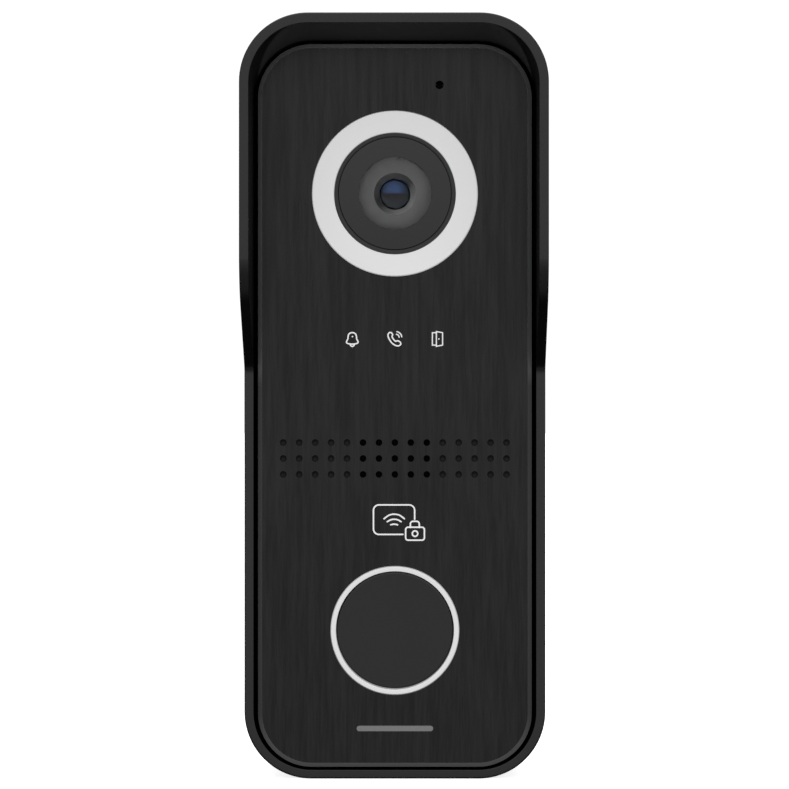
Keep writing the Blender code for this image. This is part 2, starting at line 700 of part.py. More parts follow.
def make_camera():
    spot = (0.0, 0.0, CAMERA_Z)
    ring = [(18.1, 26.0), (18.1, 23.7), (19.6, 23.7), (19.6, 23.0), (13.3, 23.0), (13.3, 26.0)]
    turned("light_ring", ring, spot, finish="white_diffuser", steps=32)
    board = turned("led_ring_board", [(19.4, 21.6), (19.4, 20.8), (14.0, 20.8), (14.0, 21.6)], spot,
                   finish="board_green", steps=24)
    lamps = []
    for i in range(LAMP_COUNT):
        angle = math.radians(360 / LAMP_COUNT * i)
        x = LAMP_CIRCLE_RADIUS * math.cos(angle)
        z = CAMERA_Z + LAMP_CIRCLE_RADIUS * math.sin(angle)
        low = (x - LAMP_HALF, -22.4, z - LAMP_HALF)
        high = (x + LAMP_HALF, -21.4, z + LAMP_HALF)
        lamps.append(box(f"lamp_{i}", low, high))
    join(board, joined_cutter("ring_lamps", lamps))

    bezel = [(13.05, 26.0), (13.05, 22.8), (13.9, 22.8), (13.9, 21.9), (11.2, 21.9), (11.2, 24.4),
             (12.4, 24.4), (12.4, 26.0)]
    turned("camera_bezel", bezel, spot, finish="black_plastic", steps=32)
    turned("window_gasket", [(12.1, 24.8), (12.1, 24.5), (11.4, 24.5), (11.4, 24.8)], spot,
           finish="seal_rubber", steps=32)
    glass = [(0, 26.0), (11.9, 26.0), (12.15, 25.75), (12.15, 24.9), (0, 24.9)]
    turned("camera_window", glass, spot, finish="window_glass", steps=32, ring=False)
    turned("lens_mask", [(11.0, 24.2), (11.0, 23.4), (8.1, 23.4), (8.1, 24.2)], spot,
           finish="black_plastic", steps=32)

    barrel = [(7.85, 24.1), (7.85, 20.5), (6.0, 20.3), (6.0, 10.4), (2.6, 10.4), (2.6, 20.4), (3.4, 20.4),
              (3.4, 22.4), (4.55, 24.1)]
    turned("lens_barrel", barrel, spot, finish="lens_metal", steps=24)
    dome = [(3.2 * math.sin(a), 22.1 + 0.7 * math.cos(a)) for a in (math.radians(22.5 * i) for i in range(5))]
    dome[0] = (0, 22.8)
    turned("lens_glass", [*dome, (3.2, 20.6), (0, 20.6)], spot, finish="lens_glass", steps=24, ring=False)

    base_outline = centred_box(LENS_HOLDER_SIZE, LENS_HOLDER_SIZE, 1.5, (0.0, CAMERA_Z), 2)
    sensor_window = centred_box(11.0, 10.0, 0.4, (0.0, CAMERA_Z), 1)
    base = flat_piece("lens_holder", [base_outline, sensor_window], -10.1, -8.2, "black_plastic")
    tube = turned("holder_tube", [(8.2, 17.0), (8.2, 9.6), (6.3, 9.6), (6.3, 17.0)], spot, steps=24)
    join(base, tube)
    box("image_sensor", (-4.5, -9.4, CAMERA_Z - 4.0), (4.5, -8.1, CAMERA_Z + 4.0), "chip_black")
    outline = centred_box(CAMERA_BOARD_SIZE, CAMERA_BOARD_SIZE, 1.5, (0.0, CAMERA_Z), 2)
    holes = [circle(1.3, place, 10) for place in CAMERA_SCREWS]
    flat_piece("camera_board", [outline, *holes], -8.0, -7.0, "board_green")
    for i, (x, z) in enumerate(CAMERA_SCREWS, 1):
        screw(f"camera_screw_{i}", (x, -8.1, z), "front", (2.0, 1.4), (1.0, 2.8))
    make_camera_ribbon()


def make_camera_ribbon():
    """The flat cable from the camera board to the back of the main board, bent in an S."""
    thickness = 0.25
    path = [(-8.25, 34.6), (-8.25, 32.5), (-8.6, 31.0), (-9.8, 29.9), (-11.6, 29.3), (-13.4, 28.7),
            (-14.9, 27.6), (-15.7, 26.0), (-16.0, 24.2), (-16.0, 23.0)]
    left, right = [], []
    for i, point in enumerate(path):
        before, after = path[max(i - 1, 0)], path[min(i + 1, len(path) - 1)]
        along = Vector((after[0] - before[0], after[1] - before[1])).normalized()
        side = Vector((-along.y, along.x)) * thickness / 2
        left.append((point[0] + side.x, point[1] + side.y))
        right.append((point[0] - side.x, point[1] - side.y))
    flat_piece("camera_ribbon", [left + right[::-1]], -4.0, 4.0, "ribbon_white", plane="side")


# ---------------------------------------------------------------- status lights


def make_status_lights():
    low, high = (-12.0, -23.7, STATUS_Z - 2.0), (12.0, -22.9, STATUS_Z + 2.0)
    bar = box("status_light_guide", low, high, "clear_plastic")
    for i in (-1, 0, 1):
        post = status_block(f"guide_post_{i}", i, GUIDE_POST_HALF, -25.3, -23.2)
        leg = status_block(f"guide_leg_{i}", i, GUIDE_LEG_HALF, -23.2, -19.2)
        join(bar, post, leg)
    outline = centred_box(26.0, 7.0, 0.8, (0.0, STATUS_Z), 2)
    wells = []
    for i in (-1, 0, 1):
        wells.append(centred_box(3.2, 3.2, 0.2, (i * STATUS_PITCH, STATUS_Z), 1))
    flat_piece("status_light_mask", [outline, *wells], -22.6, -18.3, "seal_rubber")


# ---------------------------------------------------------------- call button


def make_button():
    spot = (0.0, 0.0, BUTTON_Z)
    ring = [(14.1, 26.0), (14.1, 23.7), (15.6, 23.7), (15.6, 22.9), (12.85, 22.9), (12.85, 26.0)]
    turned("button_ring", ring, spot, finish="white_diffuser", steps=32)
    cap = [(0, 26.0), (12.3, 26.0), (12.6, 25.7), (12.6, 22.5), (13.8, 22.5), (13.8, 21.8), (11.4, 21.8),
           (11.4, 24.3), (2.6, 24.3), (2.6, 21.6), (0, 21.6)]
    turned("call_button", cap, spot, finish="button_plastic", steps=32, ring=False)
    dome = [(0, 21.3), (4.0, 21.3), (9.4, 18.9), (11.6, 18.7), (11.6, 18.2), (8.8, 18.2), (3.6, 20.7),
            (1.5, 20.7), (1.5, 20.4), (0, 20.4)]
    turned("button_membrane", dome, spot, finish="silicone", steps=24, ring=False)

    body = box("switch_body", (-3.0, -19.9, BUTTON_Z - 3.0), (3.0, -18.1, BUTTON_Z + 3.0), "chip_black")
    cut(body, hole_set("switch_bore", [(0.0, BUTTON_Z)], 1.75, -20.5, -18.5, 14))
    plunger = [(0, 20.1), (1.35, 20.1), (1.5, 19.95), (1.5, 18.95), (0, 18.95)]
    turned("switch_plunger", plunger, spot, finish="button_plastic", steps=14, ring=False)

    outline = centred_box(*ANTENNA_SIZE, 4.0, (0.0, BUTTON_Z), 3)
    hole = circle(ANTENNA_HOLE_RADIUS, (0.0, BUTTON_Z), 24)
    flat_piece("reader_antenna", [outline, hole], -22.4, -21.6, "copper")


# ---------------------------------------------------------------- sound


def make_sound():
    outline = centred_box(20.0, 12.0, 3.0, (0.0, GRILLE_Z), 3)
    flat_piece("speaker_mesh", [outline], -23.85, -23.6, "acoustic_mesh")
    spot = (0.0, 0.0, GRILLE_Z)
    turned("speaker_gasket", [(14.0, 23.4), (14.0, 22.7), (12.3, 22.7), (12.3, 23.4)], spot,
           finish="seal_rubber", steps=24)
    basket = [(14.0, 22.55), (14.0, 21.5), (10.2, 19.4), (10.2, 18.5), (7.5, 18.5), (7.5, 19.5), (9.4, 19.7),
              (12.6, 21.6), (12.6, 22.55)]
    turned("speaker_basket", basket, spot, finish="plated_steel", steps=24)
    turned("speaker_magnet", [(0, 20.5), (7.1, 20.5), (7.1, 18.3), (0, 18.3)], spot,
           finish="plated_steel", steps=24, ring=False)
    cone = [(0, 22.2), (3.0, 21.9), (4.2, 21.3), (10.8, 22.1), (11.6, 22.35), (12.3, 22.1), (12.3, 21.9),
            (11.6, 22.1), (10.8, 21.85), (4.4, 21.05), (2.9, 21.6), (0, 21.9)]
    turned("speaker_cone", cone, spot, finish="paper_cone", steps=28, ring=False)

    place_at = (MICROPHONE_X, 0.0, MICROPHONE_Z)
    turned("microphone", [(0, 22.6), (3.0, 22.6), (3.0, 19.8), (0, 19.8)], place_at,
           finish="plated_steel", steps=16, ring=False)
    boot = [(3.9, 23.8), (3.9, 19.4), (3.15, 19.4), (3.15, 22.8), (0.9, 22.8), (0.9, 23.8)]
    turned("microphone_boot", boot, place_at, finish="seal_rubber", steps=16)


# ---------------------------------------------------------------- main board


def make_main_board():
    outline = rounded_box((-26.6, -76.6), (26.6, 28.6), 8.2, 5)
    board = flat_piece("main_board", [outline], BOARD_FRONT, BOARD_BACK, "board_green")
    near, far = BOARD_FRONT - OVERRUN, BOARD_BACK + OVERRUN
    lower_columns = [(x, z) for x, z in PLATE_SCREWS if z < 0]
    cut(board, hole_set("board_screw_holes", BOARD_SCREWS, 1.5, near, far, 10))
    cut(board, hole_set("board_notches", lower_columns, 4.2, near, far, 16))
    for i, (x, z) in enumerate(BOARD_SCREWS, 1):
        screw(f"board_screw_{i}", (x, BOARD_FRONT - 0.1, z), "front", (2.3, 1.6), (1.1, 5.5))

    chamfered(box("processor", (-24.6, -19.4, 4.0), (-13.6, BOARD_FRONT - 0.1, 15.0), "chip_black"), 0.2)
    chamfered(box("heat_pad", (-24.1, -23.8, 4.5), (-14.1, -19.6, 14.5), "silicone"), 0.3)
    chamfered(box("memory_chip", (14.0, -19.2, 5.0), (23.0, BOARD_FRONT - 0.1, 16.0), "chip_black"), 0.2)


def make_rear_components():
    back = BOARD_BACK + 0.1
    jack = box("network_jack", (-16.0, back, -1.6), (0.0, -3.4, 18.6), "plated_steel")
    socket = box("jack_socket", (-13.9, -13.6, -3.0), (-2.1, -5.4, 12.4))
    latch = box("jack_latch_way", (-10.9, -6.0, -3.0), (-5.1, -4.3, 9.0))
    cut(jack, socket, latch)

    block = box("terminal_block", (4.8, back, 5.8), (23.8, -6.8, 16.8), "terminal_green")
    ways = []
    for i in range(TERMINAL_WAYS):
        x = 6.4 + TERMINAL_PITCH * i
        ways.append(box(f"wire_way_{i}", (x - 0.1, -11.8, 4.0), (x + 2.1, -9.4, 12.5)))
    cut(block, joined_cutter("wire_ways", ways))

    chamfered(box("lock_relay", (-18.0, back, -58.5), (2.0, -6.2, -48.5), "relay_blue"), 0.4)
    chamfered(box("poe_transformer", (6.0, back, -59.5), (19.0, -7.4, -46.5), "chip_black"), 0.6)
    for i, x in enumerate((-14.0, -6.6), 1):
        place_at = (x, back, -66.5)
        can = [(0, 9.6), (3.0, 9.6), (3.3, 9.3), (3.3, 0), (0, 0)]
        turned(f"capacitor_{i}", can, place_at, "back", "plated_steel", 16, ring=False)


# ---------------------------------------------------------------- tamper switch


def make_tamper_switch():
    x, z = TAMPER_PLACE
    spot = (x, 0.0, z)
    cup = [(0, -15.2), (2.5, -15.2), (2.5, -10.6), (3.6, -10.6), (3.6, -16.2), (0, -16.2)]
    turned("tamper_body", cup, spot, "back", "chip_black", 20, ring=False)
    plunger = [(0, 0.0), (1.6, 0.0), (2.0, -0.4), (2.0, -8.2), (1.2, -8.2), (1.2, -12.4), (0, -12.4)]
    turned("tamper_plunger", plunger, spot, "back", "button_plastic", 20, ring=False)
    make_tamper_spring(spot)


def make_tamper_spring(spot):
    """A coil spring round the plunger's stem, from the floor of its cup to the plunger's shoulder."""
    turns, steps, wire, radius = 4, 8, 0.22, 1.75
    low, high = -14.9, -8.55
    data = bpy.data.curves.new("tamper_spring", "CURVE")
    data.dimensions = "3D"
    data.bevel_depth = wire * MM
    data.bevel_resolution = 2
    data.use_fill_caps = True
    spline = data.splines.new("POLY")
    count = turns * steps
    spline.points.add(count)
    for i, point in enumerate(spline.points):
        angle = 2 * math.pi * i / steps
        height = low + (high - low) * i / count
        point.co = (radius * math.cos(angle) * MM, radius * math.sin(angle) * MM, height * MM, 1.0)
    obj = add_object("tamper_spring", data, "stainless")
    place(obj, spot, "back")


clear_scene()
PARTS = new_collection("video_doorbell")
CUTTERS = new_collection("cutters")
make_frame()
make_frame_fittings()
make_plate()
make_plate_fittings()
make_housing()
make_camera()
make_status_lights()
make_button()
make_sound()
make_main_board()
make_rear_components()
make_tamper_switch()
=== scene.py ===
"""Looks of the video doorbell: finer visible pieces, materials, lights and the camera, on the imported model.

Outlines are in millimetres: x points right and z points up as a visitor sees the doorbell, and depth counts
from the wall plane towards the visitor, so a depth of 26 is y = -0.026 m.
"""

import math

import bmesh
import bpy
from mathutils import Matrix, Vector
from mathutils.geometry import tessellate_polygon


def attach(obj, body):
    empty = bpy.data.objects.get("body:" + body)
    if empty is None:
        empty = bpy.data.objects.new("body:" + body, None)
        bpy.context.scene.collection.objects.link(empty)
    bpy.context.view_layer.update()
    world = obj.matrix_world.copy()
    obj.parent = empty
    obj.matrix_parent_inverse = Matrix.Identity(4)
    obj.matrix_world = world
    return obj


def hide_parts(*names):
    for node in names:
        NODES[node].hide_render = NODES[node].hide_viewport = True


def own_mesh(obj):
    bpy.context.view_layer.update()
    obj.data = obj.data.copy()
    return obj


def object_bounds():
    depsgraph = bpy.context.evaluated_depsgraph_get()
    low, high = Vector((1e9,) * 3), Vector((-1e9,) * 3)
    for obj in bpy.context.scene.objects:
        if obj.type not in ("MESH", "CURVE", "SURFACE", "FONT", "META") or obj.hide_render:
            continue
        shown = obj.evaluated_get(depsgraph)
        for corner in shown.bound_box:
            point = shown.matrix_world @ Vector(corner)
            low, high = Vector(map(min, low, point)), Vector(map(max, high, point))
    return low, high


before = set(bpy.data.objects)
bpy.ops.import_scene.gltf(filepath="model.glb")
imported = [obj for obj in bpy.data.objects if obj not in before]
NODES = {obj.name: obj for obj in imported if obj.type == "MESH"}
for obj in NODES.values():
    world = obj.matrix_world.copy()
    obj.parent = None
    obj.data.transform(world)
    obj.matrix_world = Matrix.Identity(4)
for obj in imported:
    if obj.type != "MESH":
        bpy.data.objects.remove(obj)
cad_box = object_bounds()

MM = 0.001

# ---------------------------------------------------------------- sizes, in millimetres

BODY_W, BODY_H, BODY_R = 66.1, 165.8, 14.7
SIDE_WALL, BOTTOM_WALL = 2.05, 1.95
TOP_AT_RIM, TOP_AT_HOOD = 3.55, 2.25
RIM, HOOD, FLOOR = 26.0, 46.0, 2.0
SLOPE_TOP, SLOPE_FOOT = 25.0, 7.2
TOP_FILLET, FOOT_FILLET = 15.0, 2.4
OUTER_ROUND = 0.42
INNER_ROUND = 0.15
BACK_ROUND = 0.5
LIP_BAND, OUTER_MIDDLE, INNER_MIDDLE = 1.5, 12.0, 14.0

PLATE_W, PLATE_H, PLATE_Z, PLATE_R = 60.2, 158.8, -0.95, 11.9
PLATE_BACK = 24.0
CAMERA_Z, BUTTON_Z, STATUS_Z, GRILLE_Z = 45.6, -50.35, 13.55, -12.6
STATUS_PITCH, GRILLE_PITCH = 9.35, 3.5
ICON_LINE, DOOR_LINE, READER_LINE = 0.30, 0.26, 0.33
CABLE_W, CABLE_H, CABLE_Z = 36.0, 34.0, -23.0
CABLE_CORNER = 4.0
WALL_SCREWS = [(x, z) for z in (52.0, -58.0) for x in (-19.0, 19.0)]
WALL_SCREW_PROFILE = [(0, 3.0), (5.0, 3.0), (4.2, 2.05), (2.2, 0.4), (2.2, -1.0), (0, -1.0)]
PLATE_STUDS = [(x, z) for z in (62.0, -62.0) for x in (-24.8, 24.8)]
STUD_PROFILE = [(1.5, 24.1), (2.3, 24.1), (2.3, 17.9), (2.2, 17.8), (1.5, 17.8)]
TAMPER_SPOT, TAMPER_HOLE = (9.0, -68.0), 3.0
SEAL_GROOVE_OUTER, SEAL_GROOVE_INNER, SEAL_GROOVE_DEPTH = 2.8, 6.2, 0.9
FLOOR_ROUND = 0.8
DRAIN_X, DRAIN_HALF, DRAIN_DEPTH, DRAIN_WIDTH = 17.0, 3.2, 21.0, 1.6
LOCK_SCREW_DEPTH = 10.0
LOCK_SINK = [(-1.0, 4.2), (0.2, 3.6), (1.6, 1.8), (3.0, 1.8)]
HOOK_X, HOOK_HALF, HOOK_ROUND = 15.0, 3.5, 0.25
HOOK_PROFILE = [(1.9, 64.0), (7.4, 64.0), (7.4, 70.0), (5.4, 70.0), (5.4, 66.5), (1.9, 66.5)]

MICROPHONE_SPOT, MICROPHONE_HOLE = (9.8, 69.4), 0.85
CAMERA_HOLE, BUTTON_HOLE, SOUND_HOLE, DIMPLE_DEPTH = 18.22, 14.16, 0.70, 0.45
LIGHT_POCKET_HALF, LIGHT_POCKET_FRONT = 2.4, 0.5
OPEN_COLUMNS, BLIND_COLUMNS = 2, 7
EDGE_BAND = 1.2
SYMBOL_PROUD, SYMBOL_SUNK = 0.015, 0.25
CLEAR_GLASS, CONE_EDGE, LENS_RADIUS = 7.98, 4.6, 3.3
AXIS_LIMIT = 1e-6
SHARP_ANGLE = 32


def point(x, depth, z):
    return (x * MM, -depth * MM, z * MM)


def at_depth(outline, depth):
    return [point(x, depth, z) for x, z in outline]


# ---------------------------------------------------------------- outlines


def arc(centre, radius, start, end, steps):
    turns = [math.radians(start + (end - start) * i / steps) for i in range(steps + 1)]
    return [(centre[0] + radius * math.cos(a), centre[1] + radius * math.sin(a)) for a in turns]


def circle(radius, centre=(0.0, 0.0), steps=64):
    return arc(centre, radius, 0, 360 - 360 / steps, steps - 1)


def rounded_box(low, high, radius, steps=20, side_levels=()):
    """A rectangle with round corners, counter-clockwise, with extra points on its upright sides."""
    rising = sorted(side_levels)
    points = [(high[0], z) for z in rising]
    points += arc((high[0] - radius, high[1] - radius), radius, 0, 90, steps)
    points += arc((low[0] + radius, high[1] - radius), radius, 90, 180, steps)
    points += [(low[0], z) for z in reversed(rising)]
    points += arc((low[0] + radius, low[1] + radius), radius, 180, 270, steps)
    points += arc((high[0] - radius, low[1] + radius), radius, 270, 360, steps)
    return points


def body_outline(inset, steps=20, levels=()):
    half = (BODY_W / 2 - inset, BODY_H / 2 - inset)
    return rounded_box((-half[0], -half[1]), half, BODY_R - inset, steps, levels)


def plate_outline(inset, steps=20):
    low = (-PLATE_W / 2 + inset, PLATE_Z - PLATE_H / 2 + inset)
    high = (PLATE_W / 2 - inset, PLATE_Z + PLATE_H / 2 - inset)
    return rounded_box(low, high, PLATE_R - inset, steps)


def smooth_path(corners, closed=True, steps=5):
    """A smooth line through the corners, by Catmull-Rom."""
    count = len(corners)
    spans = count if closed else count - 1
    points = []
    for i in range(spans):
        if closed:
            before, here, there, after = (corners[(i + k) % count] for k in (-1, 0, 1, 2))
        else:
            before, here = corners[max(i - 1, 0)], corners[i]
            there, after = corners[i + 1], corners[min(i + 2, count - 1)]
        for step in range(steps):
            t = step / steps
            points.append(
                tuple(
                    0.5 * (2 * b + (c - a) * t + (2 * a - 5 * b + 4 * c - d) * t * t
                           + (3 * b - a - 3 * c + d) * t ** 3)
                    for a, b, c, d in zip(before, here, there, after)
                )
            )
    if not closed:
        points.append(corners[-1])
    return points


def stroke(path, width, closed=False):
    """Outlines of a line of even width: two loops when closed, else one with round ends."""
    count = len(path)
    half = width / 2
    left, right = [], []
    for i in range(count):
        if closed:
            before, after = path[i - 1], path[(i + 1) % count]
        else:
            before, after = path[max(i - 1, 0)], path[min(i + 1, count - 1)]
        here = Vector(path[i])
        first = (here - Vector(before)) if Vector(before) != here else Vector(after) - here
        second = (Vector(after) - here) if Vector(after) != here else first
        first.normalize()
        second.normalize()
        side = Vector((-(first.y + second.y), first.x + second.x))
        side.normalize()
        stretch = half / max(0.5, side.dot(Vector((-first.y, first.x))))
        left.append(tuple(here + side * stretch))
        right.append(tuple(here - side * stretch))
    if closed:
        return [left, right]
    along = Vector(path[-1]) - Vector(path[-2])
    back = Vector(path[0]) - Vector(path[1])
    end_turn = math.degrees(math.atan2(along.y, along.x))
    start_turn = math.degrees(math.atan2(back.y, back.x))
    cap_end = arc(path[-1], half, end_turn - 90, end_turn + 90, 6)
    cap_start = arc(path[0], half, start_turn - 90, start_turn + 90, 6)
    return [right[1:-1] + cap_end + left[1:-1][::-1] + cap_start]


# ---------------------------------------------------------------- mesh helpers


def object_of(work, name):
    """Moves the bmesh into a new object of the scene."""
    mesh = bpy.data.meshes.new(name)
    work.to_mesh(mesh)
    work.free()
    obj = bpy.data.objects.new(name, mesh)
    bpy.context.scene.collection.objects.link(obj)
    return obj


def finish_piece(work, name, mat, body, nodes=(), sharp=SHARP_ANGLE):
    """Makes the bmesh an object with its material, riding on a body and standing for its CAD nodes."""
    bmesh.ops.recalc_face_normals(work, faces=work.faces)
    obj = object_of(work, name)
    obj.data.materials.append(mat)
    even_normals(obj, sharp)
    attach(obj, body)
    if nodes:
        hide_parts(*nodes)
    return obj


def bake(obj):
    """Replaces the object's mesh by its evaluated one and drops the modifiers."""
    bpy.context.view_layer.update()
    graph = bpy.context.evaluated_depsgraph_get()
    mesh = bpy.data.meshes.new_from_object(obj.evaluated_get(graph))
    obj.modifiers.clear()
    old = obj.data
    obj.data = mesh
    bpy.data.meshes.remove(old)


def even_normals(obj, sharp):
    """Smooth shading that keeps the wide faces flat, so that only the small roundings bend the light."""
    obj.data.shade_smooth()
    obj.data.set_sharp_from_angle(angle=math.radians(sharp))
    modifier = obj.modifiers.new("even_normals", "WEIGHTED_NORMAL")
    modifier.mode = "FACE_AREA"
    modifier.weight = 100
    modifier.keep_sharp = True
    bake(obj)


def add_rings(work, rings, close_first=False, close_last=False, loop=False):
    """Walls between rings of equally many points, with caps on the first or last, or closed in a loop."""
    made = [[work.verts.new(p) for p in ring] for ring in rings]
    pairs = list(zip(made, made[1:]))
    if loop:
        pairs.append((made[-1], made[0]))
    count = len(made[0])
    for near, far in pairs:
        for i in range(count):
            j = (i + 1) % count
            work.faces.new((near[i], near[j], far[j], far[i]))
    if close_first:
        work.faces.new(made[0][::-1])
    if close_last:
        work.faces.new(made[-1])


def fillet_profile(corners, steps=4):
    """A profile of (radius, depth, rounding) corners, with each rounding as an arc."""
    points = []
    for i, (radius, depth, rounding) in enumerate(corners):
        here = Vector((radius, depth))
        if rounding <= 0:
            points.append((radius, depth))
            continue
        before = Vector(corners[i - 1][:2])
        after = Vector(corners[(i + 1) % len(corners)][:2])
        to_before = (before - here).normalized()
        to_after = (after - here).normalized()
        half_angle = to_before.angle(to_after) / 2
        reach = rounding / math.tan(half_angle)
        start, end = here + to_before * reach, here + to_after * reach
        centre = here + (to_before + to_after).normalized() * (rounding / math.sin(half_angle))
        from_a, to_a = start - centre, end - centre
        sweep = from_a.angle_signed(to_a)
        for k in range(steps + 1):
            turned = from_a.copy()
            turned.rotate(Matrix.Rotation(-sweep * k / steps, 2))
            points.append(tuple(centre + turned))
    return points


def lathe_into(work, profile, spot, steps=128, ring=True):
    """Turns a profile of (radius, depth) about the Y axis through spot = (x, z)."""
    x0, z0 = spot
    loops = []
    for radius, depth in profile:
        if radius < AXIS_LIMIT:
            loops.append([work.verts.new(point(x0, depth, z0))])
            continue
        loop = []
        for k in range(steps):
            turn = 2 * math.pi * k / steps
            spot_here = point(x0 + radius * math.cos(turn), depth, z0 + radius * math.sin(turn))
            loop.append(work.verts.new(spot_here))
        loops.append(loop)
    pairs = list(zip(loops, loops[1:]))
    if ring:
        pairs.append((loops[-1], loops[0]))
    for near, far in pairs:
        for k in range(steps):
            j = (k + 1) % steps
            if len(near) == 1 and len(far) == 1:
                continue
            if len(near) == 1:
                work.faces.new((near[0], far[j], far[k]))
            elif len(far) == 1:
                work.faces.new((near[k], near[j], far[0]))
            else:
                work.faces.new((near[k], near[j], far[j], far[k]))


def lathe(name, corners, spot, mat, body, nodes=(), steps=128, ring=True):
    """A turned piece of (radius, depth, rounding) corners: closed at the axis, or a ring."""
    work = bmesh.new()
    lathe_into(work, fillet_profile(corners), spot, steps, ring)
    return finish_piece(work, name, mat, body, nodes)


def slab_into(work, outlines, front, back):
    """A flat solid of an outline with holes, between two depths."""
    flat = [[Vector((x, z, 0)) for x, z in outline] for outline in outlines]
    triangles = tessellate_polygon(flat)
    spots = [p for outline in outlines for p in outline]
    fronts = [work.verts.new(point(x, front, z)) for x, z in spots]
    backs = [work.verts.new(point(x, back, z)) for x, z in spots]
    for a, b, c in triangles:
        if len({a, b, c}) < 3:
            continue
        work.faces.new((fronts[a], fronts[b], fronts[c]))
        work.faces.new((backs[c], backs[b], backs[a]))
    offset = 0
    for outline in outlines:
        count = len(outline)
        for i in range(count):
            here, there = offset + i, offset + (i + 1) % count
            work.faces.new((fronts[here], fronts[there], backs[there], backs[here]))
        offset += count


def cutter(name, fill):
    """A helper mesh that a Boolean cuts with. It is removed once the cut is applied."""
    work = bmesh.new()
    fill(work)
    bmesh.ops.recalc_face_normals(work, faces=work.faces)
    return object_of(work, name)


def apply_cuts(obj, cutters):
    """Cuts the cutters from the object for good and removes them."""
    for tool in cutters:
        modifier = obj.modifiers.new(tool.name, "BOOLEAN")
        modifier.operation = "DIFFERENCE"
        modifier.solver = "EXACT"
        modifier.object = tool
    bake(obj)
    for tool in cutters:
        data = tool.data
        bpy.data.objects.remove(tool, do_unlink=True)
        bpy.data.meshes.remove(data)
    even_normals(obj, SHARP_ANGLE)


# ---------------------------------------------------------------- materials


class Nodes:
    """A short way to write a material's node tree."""

    def __init__(self, name):
        self.mat = bpy.data.materials.new(name)
        self.mat.use_nodes = True
        self.tree = self.mat.node_tree
        self.shader = self.tree.nodes["Principled BSDF"]
        self.place = self.node("ShaderNodeTexCoord").outputs["Object"]

    def node(self, kind, **values):
        made = self.tree.nodes.new(kind)
        for key, value in values.items():
            setattr(made, key, value)
        return made

    def link(self, source, target):
        self.tree.links.new(source, target)

    def position(self):
        made = self.node("ShaderNodeSeparateXYZ")
        self.link(self.place, made.inputs[0])
        return made.outputs

    def stretched(self, scale):
        made = self.node("ShaderNodeMapping")
        made.inputs["Scale"].default_value = scale
        self.link(self.place, made.inputs["Vector"])
        return made.outputs["Vector"]

    def noise(self, scale, detail=4.0, rough=0.5, where=None):
        made = self.node("ShaderNodeTexNoise")
        made.inputs["Scale"].default_value = scale
        made.inputs["Detail"].default_value = detail
        made.inputs["Roughness"].default_value = rough
        self.link(where if where is not None else self.place, made.inputs["Vector"])
        return made.outputs["Fac"]

    def spread(self, value, low, high, start=0.3, end=0.7):
        made = self.node("ShaderNodeMapRange")
        made.inputs["From Min"].default_value = start
        made.inputs["From Max"].default_value = end
        made.inputs["To Min"].default_value = low
        made.inputs["To Max"].default_value = high
        self.link(value, made.inputs["Value"])
        return made.outputs["Result"]

    def colours(self, value, low, high, start=0.3, end=0.7):
        made = self.node("ShaderNodeValToRGB")
        ramp = made.color_ramp
        ramp.elements[0].position = start
        ramp.elements[0].color = (*low, 1.0)
        ramp.elements[1].position = end
        ramp.elements[1].color = (*high, 1.0)
        self.link(value, made.inputs["Fac"])
        return made.outputs["Color"]

    def base(self, colour):
        self.link(colour, self.shader.inputs["Base Color"])

    def rough(self, value, low, high):
        self.link(self.spread(value, low, high), self.shader.inputs["Roughness"])

    def bump(self, value, strength, distance):
        made = self.node("ShaderNodeBump")
        made.inputs["Strength"].default_value = strength
        made.inputs["Distance"].default_value = distance
        self.link(value, made.inputs["Height"])
        self.link(made.outputs["Normal"], self.shader.inputs["Normal"])

    def fixed(self, **values):
        for key, value in values.items():
            socket = self.shader.inputs[key.replace("_", " ")]
            socket.default_value = value


def grey(level):
    """A grey that is a hair bluer than neutral."""
    return (level, level, level * 1.01)


ROUGHNESS_SPREAD = 0.07


def coated(name, low, high, rough, grain=2600.0, depth=0.00002, specular=0.3, strength=0.25):
    """A fine matt coat: small colour and roughness changes over a close grain."""
    n = Nodes(name)
    wide = n.noise(60.0, 5.0, 0.6)
    close = n.noise(grain, 3.0, 0.55)
    n.base(n.colours(wide, low, high))
    n.rough(close, rough - ROUGHNESS_SPREAD, rough + ROUGHNESS_SPREAD)
    n.bump(close, strength, depth)
    n.fixed(Specular_IOR_Level=specular)
    return n.mat


BRUSH_RUN = 170.0


def brushed(name, low, high, rough, along="z", streak=2600.0):
    """Metal with fine straight brushing along one axis: streak is its fineness across that axis."""
    n = Nodes(name)
    length = BRUSH_RUN / streak
    scale = {"x": (length, 1, 1), "y": (1, length, 1), "z": (1, 1, length)}[along]
    where = n.stretched(scale)
    fine = n.noise(streak, 6.0, 0.65, where)
    broad = n.noise(streak / 3, 2.0, 0.4, where)
    mixed = n.node("ShaderNodeMath", operation="ADD")
    scaled = n.node("ShaderNodeMath", operation="MULTIPLY")
    n.link(broad, scaled.inputs[0])
    scaled.inputs[1].default_value = 0.6
    n.link(fine, mixed.inputs[0])
    n.link(scaled.outputs[0], mixed.inputs[1])
    both = mixed.outputs[0]
    n.base(n.colours(both, low, high, 0.60, 1.0))
    n.rough(fine, rough - 0.08, rough + 0.10)
    n.bump(both, 0.35, 0.000004)
    n.fixed(Metallic=1.0)
    return n.mat


